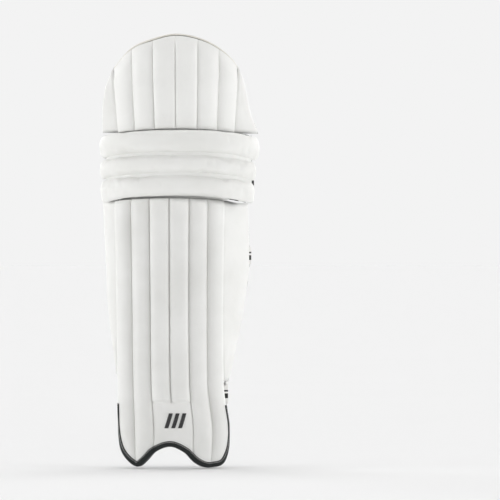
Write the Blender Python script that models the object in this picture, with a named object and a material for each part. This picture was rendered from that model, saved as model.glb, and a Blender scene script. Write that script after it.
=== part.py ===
"""Cricket leg pad for the left leg, upright, worn face towards -Y, +Z up.

All lengths below are in millimetres and are turned into metres where a mesh is made.
Before the shift to the mount, X runs across the pad (+X is the outer side of the leg),
Y runs from the face (0) back towards the leg, and Z is the height above the lower lobes.
"""

import math

import bmesh
import bpy

MM = 0.001

# ---- main section: six ridges on an arc, seen from above
ARC = math.radians(42)
RIDGES = 6
RIDGE_RISE = 7.0
SKIN = 1.4
GAP = 0.4
CORE_FILL = 0.78
CORE_MARGIN = 0.034
CORE_BACK = 12.0
BOARD_FRONT = 12.4
BOARD_BACK = 15.2
PADDING_FRONT = 15.6

# ---- heights of the flex lines and section ends
SHIN_TOP = 434.5
SHIN_TOP_DROP = 4.5
BACK_TOP = 431.0
BACK_TOP_DROP = 5.0
BACK_BOTTOM = 139.0
PATCH_TOP = 104.5
TOP_BOTTOM = 545.0
LEAN = 0.03

# ---- joints
FLEX_Y = 75.0
LOWER_FLEX_Z = 430.0
UPPER_FLEX_Z = 540.0

# ---- knee section
KNEE_CENTRE_X = 6.0
KNEE_CENTRE_Y = 170.0
KNEE_BACK_R = 160.0
KNEE_BOARD = 2.8
ROLL_DEPTH = 34.0
DROP_INNER = 10.0
DROP_OUTER = 13.0
CUSHION_DROP_INNER = 5.0
CUSHION_DROP_OUTER = 13.0
CUSHION_DROP_TOP = 3.0

# ---- leg-side padding
PADDING_EDGE = 5.0
PADDING_RISE = 17.0
FLAT_FACE_Y = 36.5

# ---- side pieces
FLAP_SLOPE = math.radians(58)
FLAP_ROOT = 15.0
FLAP_TIP = 7.0
WING_LOW = 141.0
WING_HIGH = 422.5
TOP_SLOPE = math.radians(44)

# ---- straps
STRAP_WIDTH = 34.0
STRAP = 2.4
FOLD_R = 3.7
ROD_R = 1.7
RING_HEIGHT = 39.4
HOOK_LENGTH = 62.0
HOOK = 1.8
TAB = 1.4

# ---- outline curves, each a few (position, value) points
SHIN_INNER_EDGE = [(0, -90), (60, -91), (107, -92), (161, -93), (269, -94.3), (420, -97.5)]
SHIN_OUTER_EDGE = [(0, 84), (60, 86.5), (107, 80), (134, 77.5), (269, 76.5), (420, 78.7)]
LOWER_EDGE = [(-92, 62), (-88, 36), (-82, 21), (-69, 6), (-60, 2), (-48, 11), (-33, 26), (-7, 34.6),
              (18, 24), (34, 9), (50, 1), (64, 1), (77, 6), (84, 21), (88, 45)]
WING_EDGE = [(134, 84.5), (157, 89.4), (198, 98.5), (243, 107.5), (284, 114.3), (311, 117.7),
             (361, 118.7), (418, 117)]
INNER_EDGE = [(150, -95), (220, -103.5), (266, -109), (342, -112), (420, -116)]
TOP_INNER_EDGE = [(543, -92.8), (625, -99.4), (660, -100)]
TOP_OUTER_EDGE = [(543, 95.5), (625, 100.3), (660, 100.5)]
TOP_OUTLINE = [(-104, 636), (-99, 645), (-72, 674), (-37, 688.5), (0, 696.5), (37, 691), (70, 676),
               (94, 656), (104, 640)]
TOP_WING_EDGE = [(541, 133), (568, 122.5), (590, 117), (622, 110.5), (638, 105), (648, 101.5)]
TOP_STRIP_EDGE = [(536, -116.6), (560, -118), (588, -117), (614, -112.5), (632, -105.5), (645, -101)]

BASE_X = -5.0
BASE_Y = FLAT_FACE_Y
BASE_Z = 285.0


def along(x, points):
    """Smooth curve through the points, level beyond both ends."""
    if x <= points[0][0]:
        return points[0][1]
    if x >= points[-1][0]:
        return points[-1][1]
    last = len(points) - 1
    i = max(k for k in range(last) if points[k][0] <= x)
    x0, y0 = points[i]
    x1, y1 = points[i + 1]
    xa, ya = points[max(i - 1, 0)]
    xb, yb = points[min(i + 2, last)]
    slope0 = (y1 - ya) / (x1 - xa)
    slope1 = (yb - y0) / (xb - x0)
    w = x1 - x0
    t = (x - x0) / w
    a = (1 + 2 * t) * (1 - t) ** 2 * y0 + t * (1 - t) ** 2 * w * slope0
    b = t * t * (3 - 2 * t) * y1 + t * t * (t - 1) * w * slope1
    return a + b


def ease(x):
    x = min(max(x, 0.0), 1.0)
    return x * x * (3 - 2 * x)


def dome(t, power):
    """1 in the middle of 0..1, 0 at both ends."""
    return max(1 - abs(2 * t - 1) ** power, 0.0) ** 0.5


def spread(count):
    """Positions from 0 to 1, closer together at the ends."""
    return [(1 - math.cos(math.pi * k / count)) / 2 for k in range(count + 1)]


def even(count):
    return [k / count for k in range(count + 1)]


def arc_point(left, right, front, u, depth):
    half = (right - left) / 2
    radius = half / math.sin(ARC)
    x = (right + left) / 2 + (radius - depth) * math.sin(u * ARC)
    y = front + radius - (radius - depth) * math.cos(u * ARC)
    return x, y


def shin_point(u, z, depth):
    x, y = arc_point(along(z, SHIN_INNER_EDGE), along(z, SHIN_OUTER_EDGE), 0.0, u, depth)
    return x, y, z


def top_point(u, z, depth):
    front = (z - 543) * LEAN
    x, y = arc_point(along(z, TOP_INNER_EDGE), along(z, TOP_OUTER_EDGE), front, u, depth)
    return x, y, z


def lower_edge(u):
    return along(shin_point(u, 35, 0)[0], LOWER_EDGE)


def shin_top(u):
    return SHIN_TOP - SHIN_TOP_DROP * u * u


def top_outline(u):
    return along(top_point(u, 640, 0)[0], TOP_OUTLINE)


def ridge(u):
    t = ((u + 1) * RIDGES / 2) % 1.0
    return dome(t, 2.4)


def shin_rise(u, z):
    """Height of the face above its seam line."""
    rise = RIDGE_RISE * ridge(u)
    if abs(u) < 0.334:
        patch = 4.0 * dome(min(max((u + 1 / 3) * 1.5, 0), 1), 4)
        mix = ease((z - PATCH_TOP + 4) / 7)
        rise = rise * mix + patch * (1 - mix)
    return rise * (0.4 + 0.6 * ease((z - lower_edge(u)) / 45))


def rim_depth(u, z):
    return CORE_BACK * (0.45 + 0.55 * ease((z - lower_edge(u)) / 45))


def top_rise(u, z):
    return 6.0 * ridge(u) * (0.35 + 0.65 * ease((top_outline(u) - z) / 30))


def material(name, colour, roughness):
    found = bpy.data.materials.get(name)
    if found:
        return found
    made = bpy.data.materials.new(name)
    made.use_nodes = True
    shader = made.node_tree.nodes["Principled BSDF"]
    shader.inputs["Base Color"].default_value = (*colour, 1)
    shader.inputs["Roughness"].default_value = roughness
    made.diffuse_color = (*colour, 1)
    return made


WHITE = (0.86, 0.86, 0.84)
BLACK = (0.03, 0.03, 0.035)
FOAM = (0.75, 0.73, 0.62)
CANE = (0.72, 0.55, 0.33)
BOARD = (0.30, 0.31, 0.33)
SATIN = (0.62, 0.61, 0.65)
SAGE = (0.45, 0.55, 0.50)
BINDING = (0.05, 0.06, 0.06)
WEBBING = (0.70, 0.70, 0.68)
PLASTIC = (0.88, 0.88, 0.87)


def add_piece(name, points, faces, colour, pivot=None, roughness=0.7):
    """One closed mesh, with its origin on the joint axis of the body that carries it."""
    shift = (BASE_X, BASE_Y, BASE_Z)
    home = pivot or shift
    mesh = bpy.data.meshes.new(name)
    local = [tuple((p[k] - home[k]) * MM for k in range(3)) for p in points]
    mesh.from_pydata(local, [], faces)
    work = bmesh.new()
    work.from_mesh(mesh)
    bmesh.ops.recalc_face_normals(work, faces=work.faces)
    work.to_mesh(mesh)
    work.free()
    mesh.polygons.foreach_set("use_smooth", [True] * len(mesh.polygons))
    mesh.set_sharp_from_angle(angle=math.radians(50))
    mesh.materials.append(material(name + "_finish", colour, roughness))
    piece = bpy.data.objects.new(name, mesh)
    piece.location = [(home[k] - shift[k]) * MM for k in range(3)]
    bpy.context.scene.collection.objects.link(piece)
    return piece


def plate(name, front, back, colour, pivot=None, roughness=0.7):
    """Closed solid between two grids of points with the same number of rows and columns."""
    rows = len(front)
    columns = len(front[0])
    points = [p for row in front for p in row] + [p for row in back for p in row]
    offset = rows * columns
    faces = []
    for i in range(rows - 1):
        for j in range(columns - 1):
            a = i * columns + j
            quad = (a, a + 1, a + columns + 1, a + columns)
            faces.append(quad)
            faces.append(tuple(offset + k for k in reversed(quad)))
    border = [j for j in range(columns)]
    border += [i * columns + columns - 1 for i in range(1, rows)]
    border += [(rows - 1) * columns + j for j in range(columns - 2, -1, -1)]
    border += [i * columns for i in range(rows - 2, 0, -1)]
    for a, b in zip(border, border[1:] + border[:1]):
        faces.append((b, a, offset + a, offset + b))
    return add_piece(name, points, faces, colour, pivot, roughness)


def tube(name, rings, colour, pivot=None, closed=False, roughness=0.7):
    """Closed solid through rings of points; a closed tube joins its last ring to its first."""
    count = len(rings[0])
    points = [p for ring in rings for p in ring]
    faces = []
    spans = len(rings) if closed else len(rings) - 1
    for i in range(spans):
        here = i * count
        after = ((i + 1) % len(rings)) * count
        for j in range(count):
            k = (j + 1) % count
            faces.append((here + j, here + k, after + k, after + j))
    if not closed:
        faces.append(tuple(range(count)))
        faces.append(tuple(reversed(range((len(rings) - 1) * count, len(rings) * count))))
    return add_piece(name, points, faces, colour, pivot, roughness)


def ridge_columns(steps):
    """Positions across the six ridges, with every seam on a column."""
    found = []
    for k in range(RIDGES):
        for t in spread(steps)[:-1]:
            found.append(-1 + (k + t) * 2 / RIDGES)
    return found + [1.0]


# ---------------------------------------------------------------- shin section

def shin_heights(u):
    low = lower_edge(u)
    upper = [shin_top(u), 350, 250, 165, 122, 107, 100]
    lower = [low + (100 - low) * f for f in (0.75, 0.5, 0.28, 0.1, 0.0)]
    return upper + lower


def make_shin_cover():
    columns = ridge_columns(4)
    front = []
    back = []
    for u in columns:
        heights = shin_heights(u)
        front.append([shin_point(u, z, -shin_rise(u, z)) for z in heights])
        back.append([shin_point(u, z, SKIN - shin_rise(u, z)) for z in heights])
    plate("shin_face_cover", front, back, WHITE)


def clipped(heights, low, high):
    """The section's own heights between two limits, with the limits themselves."""
    kept = [z for z in heights if low + 3 < z < high - 3]
    return [high] + kept + [low]


def make_core(name, point, rise, back_depth, low_u, high_u, heights_at, pivot, colour):
    margin = CORE_MARGIN
    columns = [low_u + margin + (high_u - low_u - 2 * margin) * t for t in spread(4)]
    front = []
    back = []
    for u in columns:
        heights = heights_at(u)
        front.append([point(u, z, SKIN + 1.5 * GAP - CORE_FILL * rise(u, z)) for z in heights])
        back.append([point(u, z, back_depth(u, z)) for z in heights])
    plate(name, front, back, colour, pivot)


def make_shin_cores():
    for k in range(RIDGES):
        low_u = -1 + k * 2 / RIDGES
        over_patch = k in (2, 3)

        def heights_at(u, over_patch=over_patch):
            low = PATCH_TOP + 3.5 if over_patch else lower_edge(u) + 7
            return clipped(shin_heights(u), low, shin_top(u) - 2)

        make_core("shin_cane_%d" % (k + 1), shin_point, shin_rise, rim_depth, low_u,
                  low_u + 2 / RIDGES, heights_at, None, CANE)
    make_core("instep_foam", shin_point, shin_rise, rim_depth, -1 / 3, 1 / 3,
              lambda u: clipped(shin_heights(u), lower_edge(u) + 7, PATCH_TOP - 5), None, FOAM)


def arc_plate(name, point, front_depth, back_depth, columns, bottom, top, rows, colour, pivot=None,
              roughness=0.7):
    front = []
    back = []
    for u in columns:
        heights = [bottom(u) + (top(u) - bottom(u)) * t for t in rows]
        front.append([point(u, z, front_depth(u, z)) for z in heights])
        back.append([point(u, z, back_depth(u, z)) for z in heights])
    plate(name, front, back, colour, pivot, roughness)


def make_shin_board():
    columns = [-0.975 + 1.95 * t for t in even(14)]
    arc_plate("shin_board", shin_point, lambda u, z: BOARD_FRONT, lambda u, z: BOARD_BACK, columns,
              lambda u: BACK_BOTTOM, lambda u: shin_top(u) - 6, even(6), BOARD)


def make_instep_lining():
    columns = [-0.985 + 1.97 * t for t in even(18)]
    arc_plate("instep_lining", shin_point, lambda u, z: rim_depth(u, z) + 1.0,
              lambda u, z: rim_depth(u, z) + 2.8 + 1.5 * dome(((u + 1) * 3) % 1, 2), columns,
              lambda u: lower_edge(u) + 2, lambda u: BACK_BOTTOM - 2.5, [0, 0.1, 0.2, 0.32, 0.45, 0.7, 1],
              SATIN, roughness=0.4)


def padding_rise(t, z, low, high):
    """Thickness of a leg-side bolster at t across it and height z."""
    end = min(z - low, high - z)
    round_end = (1 - (1 - min(max(end / 14, 0), 1)) ** 2) ** 0.5
    return PADDING_EDGE + PADDING_RISE * dome(t, 4) * (0.25 + 0.75 * round_end)


def bolster_heights(low, high):
    inner = [low + 14 + (high - low - 28) * t for t in even(4)]
    return [low, low + 4] + inner + [high - 4, high]


def make_back_bolster(name, low_u, high_u, colour, flat):
    front = []
    back = []
    for t in spread(8):
        u = low_u + (high_u - low_u) * t
        low = BACK_BOTTOM + 0.5
        high = BACK_TOP - BACK_TOP_DROP * u * u
        near = []
        far = []
        for z in bolster_heights(low, high):
            rise = padding_rise(t, z, low, high)
            near.append(shin_point(u, z, PADDING_FRONT))
            x, y, z = shin_point(u, z, PADDING_FRONT + rise)
            far.append((x, min(y, FLAT_FACE_Y) if flat else y, z))
        front.append(near)
        back.append(far)
    plate(name, front, back, colour)


def flap_tip(root, edge_x):
    """Tip of a side piece whose tip reaches edge_x from the root point."""
    run = abs(edge_x - root[0])
    return edge_x, root[1] + run * math.tan(FLAP_SLOPE), root[2]


def flap_point(root, edge_x, side, q, depth, slope=FLAP_SLOPE):
    """Point q of the way from root to tip and depth mm under the outer surface."""
    e = (side * math.cos(slope), math.sin(slope))
    length = max(abs(edge_x - root[0]), 1.0) / math.cos(slope)
    angle = ARC + (slope - ARC) * ease(q * 3)
    inward = (-side * math.sin(angle), math.cos(angle))
    run = 0.5 + (length - 0.5) * q
    x = root[0] + e[0] * run + inward[0] * depth
    y = root[1] + e[1] * run + inward[1] * depth
    return x, y, root[2]


def flap_bulge(q):
    return 3.0 * dome(q, 2.0)


def flap_thickness(q):
    return FLAP_ROOT + (FLAP_TIP - FLAP_ROOT) * q


def flap(name, root_at, edge_at, side, heights, layer, colour, pivot, span=(0.0, 1.0),
         slope=FLAP_SLOPE, columns=6):
    front = []
    back = []
    for t in even(columns):
        q = span[0] + (span[1] - span[0]) * t
        outer, inner = layer(q)
        front.append([flap_point(root_at(z), edge_at(z), side, q, outer, slope) for z in heights])
        back.append([flap_point(root_at(z), edge_at(z), side, q, inner, slope) for z in heights])
    plate(name, front, back, colour, pivot)


def shin_outer_root(z):
    return shin_point(1, z, 0)


def shin_inner_root(z):
    return shin_point(-1, z, 0)


def make_outer_bolster():
    """Leg-side bolster that turns the corner on to the inner face of the outer wing."""
    front = []
    back = []
    low = BACK_BOTTOM + 0.5
    for t in spread(10):
        s = t * 2.0
        near = []
        far = []
        if s <= 1.25:
            u = 0.515 + (0.975 - 0.515) * s / 1.25
            high = BACK_TOP - BACK_TOP_DROP * u * u
            for z in bolster_heights(low, high):
                rise = padding_rise(t, z, low, high)
                near.append(shin_point(u, z, PADDING_FRONT))
                far.append(shin_point(u, z, PADDING_FRONT + rise))
        else:
            high = BACK_TOP - BACK_TOP_DROP - 6 * (s - 1.25)
            for z in bolster_heights(low, high):
                root = shin_outer_root(z)
                edge = along(z, WING_EDGE)
                length = abs(edge - root[0]) / math.cos(FLAP_SLOPE)
                reach = min(30.0, length * 0.6)
                q = max((s - 1.25) / 0.75 * reach / max(length, 1), 0)
                skin = flap_thickness(q) + 1.0 + 2.2 * (1 - ease((length - 20) / 40))
                rise = padding_rise(t, z, low, high) * (0.45 + 0.55 * ease(reach / 25))
                near.append(flap_point(root, edge, 1, q, skin))
                far.append(flap_point(root, edge, 1, q, skin + rise))
        front.append(near)
        back.append(far)
    plate("shin_outer_bolster", front, back, SAGE)


def make_inner_strip():
    heights = [150 + (421 - 150) * t for t in even(10)]
    flap("shin_inner_edge", shin_inner_root, lambda z: along(z, INNER_EDGE), -1, heights,
         lambda q: (-flap_bulge(q), FLAP_ROOT - 6 * q), WHITE, None)


def edge_path():
    """Lower rim from the inner side, round both lobes, to the outer side, as (u, z)."""
    path = [(-1.0, z) for z in (100, 90, 80, 71)]
    path += [(-1 + 2 * t, lower_edge(-1 + 2 * t)) for t in even(30)]
    path += [(1.0, z) for z in (55, 69, 83, 97)]
    return path


def make_instep_binding():
    radius = 87.5 / math.sin(ARC)
    flat = [(u * ARC * radius, z) for u, z in edge_path()]
    front = []
    back = []
    for i, (s, z) in enumerate(flat):
        before = flat[max(i - 1, 0)]
        after = flat[min(i + 1, len(flat) - 1)]
        run = (after[0] - before[0], after[1] - before[1])
        size = math.hypot(*run)
        inward = (-run[1] / size, run[0] / size)

        def at(offset, depth_from_face, depth_from_back=None):
            ss = s + inward[0] * offset
            zz = z + inward[1] * offset
            u = ss / (ARC * radius)
            edge_u = min(max(u, -1), 1)
            if depth_from_back is None:
                depth = -shin_rise(edge_u, max(zz, lower_edge(edge_u))) - depth_from_face
            else:
                depth = rim_depth(edge_u, max(zz, lower_edge(edge_u))) + 4.0 + depth_from_back
            return shin_point(u, zz, depth)

        outer = [at(9, 2.4), at(4, 2.4), at(-2.4, 2.4), at(-2.4, 0, 2.4), at(4, 0, 2.4), at(8, 0, 2.4)]
        inner = [at(9, 1.2), at(4, 1.2), at(-1.2, 1.2), at(-1.2, 0, 1.0), at(4, 0, 1.0), at(8, 0, 1.0)]
        front.append(outer)
        back.append(inner)
    plate("instep_binding", front, back, BINDING)


# ---------------------------------------------------------------- outer wing

WING_PIVOT = (*shin_point(1, 276, 0)[:2], 276.0)


def make_outer_wing():
    heights = [WING_LOW + (WING_HIGH - WING_LOW) * t for t in even(10)]

    def edge(z):
        return along(z, WING_EDGE)

    flap("wing_face_cover", shin_outer_root, edge, 1, heights,
         lambda q: (-flap_bulge(q), SKIN - flap_bulge(q)), WHITE, WING_PIVOT)
    flap("wing_foam", shin_outer_root, edge, 1, heights[:1] + [z - 2 for z in heights[1:]],
         lambda q: (SKIN + 2 * GAP - 0.8 * flap_bulge(q), flap_thickness(q) - 2.6), FOAM, WING_PIVOT,
         (0.02, 0.96))
    flap("wing_lining", shin_outer_root, edge, 1, heights,
         lambda q: (flap_thickness(q) - 2.2, flap_thickness(q)), BLACK, WING_PIVOT, (0.0, 1.0))


# ---------------------------------------------------------------- knee section

KNEE_PIVOT = (0.0, FLEX_Y, LOWER_FLEX_Z)


def knee_drop(t):
    return (DROP_OUTER if t > 0 else DROP_INNER) * t * t


def knee_point(radius, angle, z):
    x = KNEE_CENTRE_X + radius * math.sin(angle)
    y = KNEE_CENTRE_Y - radius * math.cos(angle)
    return x, y, z


def roll_ring(t, middle_z, half_height, centre_x, reach, angles, shrink, stretch=1.0):
    """Points round a knee roll at t from -1 to 1 along it."""
    end = min(max((abs(t) - 0.9) / 0.1, 0), 1)
    tip = (1 - (0.94 * end) ** 2) ** 0.5
    depth = ROLL_DEPTH * (1 - 0.58 * abs(t) ** 2.6) * (0.3 + 0.7 * tip)
    height = half_height * (1 - 0.1 * abs(t) ** 3) * tip
    middle = middle_z - knee_drop(t)
    found = []
    for a in angles:
        c = math.copysign(abs(math.cos(a)) ** 0.85, math.cos(a))
        s = math.copysign(abs(math.sin(a)) ** 0.85, math.sin(a))
        radius = KNEE_BACK_R + depth / 2 + (depth / 2 - shrink) * c
        x = centre_x + stretch * radius * math.sin(t * reach)
        y = KNEE_CENTRE_Y - radius * math.cos(t * reach)
        found.append((x, y, middle + max(height - shrink, 0.6) * s))
    return found


def make_roll(name, middle_z, half_height, left, right):
    centre_x = (left + right) / 2
    reach = math.asin((right - left) / 2 / 175.5)
    wrap = [math.radians(-142 + 284 * k / 9) for k in range(10)]
    steps = [-1 + 2 * t for t in even(16)]
    steps = [-1, -0.985] + steps[1:-1] + [0.985, 1]
    plain = [p[0] for t in steps for p in roll_ring(t, middle_z, half_height, centre_x, reach, wrap, 0)]
    stretch = (right - centre_x) / (max(plain) - centre_x)
    outer = [roll_ring(t, middle_z, half_height, centre_x, reach, wrap, 0, stretch) for t in steps]
    inner = [roll_ring(t, middle_z, half_height, centre_x, reach, wrap, SKIN, stretch) for t in steps]
    plate(name + "_cover", outer, inner, WHITE, KNEE_PIVOT)
    turn = [2 * math.pi * k / 10 for k in range(10)]
    body = [-0.88 + 1.76 * t for t in even(12)]
    rings = [roll_ring(t, middle_z, half_height, centre_x, reach, turn, SKIN + 3 * GAP, stretch)
             for t in body]
    tube(name + "_foam", rings, FOAM, KNEE_PIVOT)


def make_knee_back():
    limit = math.radians(49)

    def bounded(name, low_a, high_a, front_r, back_r, low_z, high_z, steps, colour):
        front = []
        back = []
        for t in spread(steps):
            a = low_a + (high_a - low_a) * t
            side = (a / limit) ** 2
            low_drop = (CUSHION_DROP_OUTER if a > 0 else CUSHION_DROP_INNER) * side
            heights = bolster_heights(low_z - low_drop, high_z - CUSHION_DROP_TOP * side)
            near = [knee_point(front_r, a, z) for z in heights]
            far = [knee_point(back_r(t, z, heights), a, z) for z in heights]
            front.append(near)
            back.append(far)
        plate(name, front, back, colour, KNEE_PIVOT)

    face = KNEE_BACK_R - 3.0
    bounded("knee_board", -limit, limit, face, lambda t, z, h: face - KNEE_BOARD, 442, 539, 14, BOARD)
    pad = face - KNEE_BOARD - 3 * GAP

    def bulged(t, z, heights):
        end = min(z - heights[0], heights[-1] - z)
        round_end = (1 - (1 - min(max(end / 14, 0), 1)) ** 2) ** 0.5
        return pad - 4 - 13 * dome(t, 3) * (0.3 + 0.7 * round_end)

    joint = 0.004
    inner_a = math.radians(-13.8)
    outer_a = math.radians(20.8)
    bounded("knee_inner_cushion", -limit, inner_a - joint, pad, bulged, 436, 541, 8, BLACK)
    bounded("knee_centre_cushion", inner_a, outer_a - joint, pad, bulged, 436, 541, 8, BLACK)
    bounded("knee_outer_cushion", outer_a, limit, pad, bulged, 436, 541, 8, BLACK)


# ---------------------------------------------------------------- top section

TOP_PIVOT = (0.0, FLEX_Y, UPPER_FLEX_Z)


def top_bottom(u):
    return TOP_BOTTOM - 6 * u * u


def make_top():
    columns = ridge_columns(4)
    rows = [0, 0.25, 0.5, 0.72, 0.86, 0.95, 1.0]
    arc_plate("top_face_cover", top_point, lambda u, z: -top_rise(u, z),
              lambda u, z: SKIN - top_rise(u, z), columns, top_bottom, top_outline, rows, WHITE,
              TOP_PIVOT)

    def cane_heights(u):
        low = top_bottom(u)
        return clipped([low + (top_outline(u) - low) * t for t in reversed(rows)], low + 2,
                       top_outline(u) - 9)

    for k in range(RIDGES):
        low_u = -1 + k * 2 / RIDGES
        make_core("top_cane_%d" % (k + 1), top_point, top_rise, lambda u, z: CORE_BACK, low_u,
                  low_u + 2 / RIDGES, cane_heights, TOP_PIVOT, CANE)
    wide = [-0.98 + 1.96 * t for t in even(16)]
    arc_plate("top_board", top_point, lambda u, z: BOARD_FRONT, lambda u, z: BOARD_BACK, wide,
              lambda u: top_bottom(u) + 2, lambda u: top_outline(u) - 6, even(4), BOARD, TOP_PIVOT)

    def lining_back(u, z):
        near_edge = min(top_outline(u) - z, (1 - abs(u)) * 90, z - top_bottom(u))
        return PADDING_FRONT + 2.5 + 7 * ease(near_edge / 22)

    rim = [-1, -0.96, -0.86] + [-0.72 + 1.44 * t for t in even(12)] + [0.86, 0.96, 1]
    arc_plate("top_lining", top_point, lambda u, z: PADDING_FRONT, lining_back, rim,
              lambda u: top_bottom(u) + 1, lambda u: top_outline(u) - 0.5,
              [0, 0.05, 0.15, 0.35, 0.6, 0.8, 0.92, 1], BLACK, TOP_PIVOT)
    outer = [541 + (645 - 541) * t for t in even(7)]
    flap("top_outer_wing", lambda z: top_point(1, z, 0), lambda z: along(z, TOP_WING_EDGE), 1, outer,
         lambda q: (-flap_bulge(q), flap_thickness(q)), WHITE, TOP_PIVOT, slope=TOP_SLOPE)
    inner = [541.5 + (641 - 541.5) * t for t in even(7)]
    flap("top_inner_edge", lambda z: top_point(-1, z, 0), lambda z: along(z, TOP_STRIP_EDGE), -1,
         inner, lambda q: (-flap_bulge(q), flap_thickness(q)), WHITE, TOP_PIVOT, slope=TOP_SLOPE)


def make_top_piping():
    rings = []
    count = 22
    radius = 1.6
    for k in range(count + 1):
        u = -0.99 + 1.98 * k / count
        here = top_point(u, top_outline(u) + radius + 0.5, 3.0)
        low = top_point(u - 0.01, top_outline(u - 0.01) + radius, 3.0)
        high = top_point(u + 0.01, top_outline(u + 0.01) + radius, 3.0)
        run = [high[i] - low[i] for i in range(3)]
        size = math.sqrt(sum(c * c for c in run))
        run = [c / size for c in run]
        side = (-math.sin(u * ARC), math.cos(u * ARC), 0)
        across = [side[1] * run[2] - side[2] * run[1], side[2] * run[0] - side[0] * run[2],
                  side[0] * run[1] - side[1] * run[0]]
        ring = []
        for j in range(6):
            a = 2 * math.pi * j / 6
            ring.append(tuple(here[i] + radius * (math.cos(a) * side[i] + math.sin(a) * across[i])
                              for i in range(3)))
        rings.append(ring)
    tube("top_piping", rings, WHITE, TOP_PIVOT)


# ---------------------------------------------------------------- straps

def smooth_path(points, per_span):
    """Round path through plan points, as evenly stepped (x, y) pairs."""
    found = []
    last = len(points) - 1
    for i in range(last):
        p0 = points[max(i - 1, 0)]
        p1 = points[i]
        p2 = points[i + 1]
        p3 = points[min(i + 2, last)]
        for k in range(per_span):
            t = k / per_span
            spot = []
            for a, b, c, d in zip(p0, p1, p2, p3):
                spot.append(0.5 * (2 * b + (c - a) * t + (2 * a - 5 * b + 4 * c - d) * t * t
                                   + (3 * b - a - 3 * c + d) * t ** 3))
            found.append(tuple(spot))
    return found + [points[last]]


def headings(path):
    found = []
    for i in range(len(path)):
        a = path[max(i - 1, 0)]
        b = path[min(i + 1, len(path) - 1)]
        size = math.hypot(b[0] - a[0], b[1] - a[1])
        found.append(((b[0] - a[0]) / size, (b[1] - a[1]) / size))
    return found


def lengths(path):
    found = [0.0]
    for a, b in zip(path, path[1:]):
        found.append(found[-1] + math.hypot(b[0] - a[0], b[1] - a[1]))
    return found


def offset_path(path, distance):
    """Path moved away from the leg; the leg is on the left of the direction of travel."""
    return [(p[0] + h[1] * distance, p[1] - h[0] * distance) for p, h in zip(path, headings(path))]


def ribbon(name, path, thickness, height_at, width, colour, pivot=None, roughness=0.7):
    left = offset_path(path, thickness / 2)
    right = offset_path(path, -thickness / 2)
    front = []
    back = []
    for p, a, b in zip(path, left, right):
        z = height_at(p[0])
        front.append([(*a, z - width / 2), (*a, z + width / 2)])
        back.append([(*b, z - width / 2), (*b, z + width / 2)])
    plate(name, front, back, colour, pivot, roughness)


def cut_path(path, start, end):
    """Part of a path between two distances along it."""
    far = lengths(path)
    found = []
    for i in range(len(path) - 1):
        span = far[i + 1] - far[i]
        for mark in (start, end):
            if far[i] <= mark < far[i + 1]:
                t = (mark - far[i]) / span
                spot = tuple(path[i][k] + (path[i + 1][k] - path[i][k]) * t for k in range(2))
                found.append((mark, spot))
        if start < far[i] < end:
            found.append((far[i], path[i]))
    if end >= far[-1]:
        found.append((far[-1], path[-1]))
    found.sort()
    kept = [found[0]]
    for item in found[1:]:
        if item[0] - kept[-1][0] > 0.5:
            kept.append(item)
    return [spot for _, spot in kept]


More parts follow.
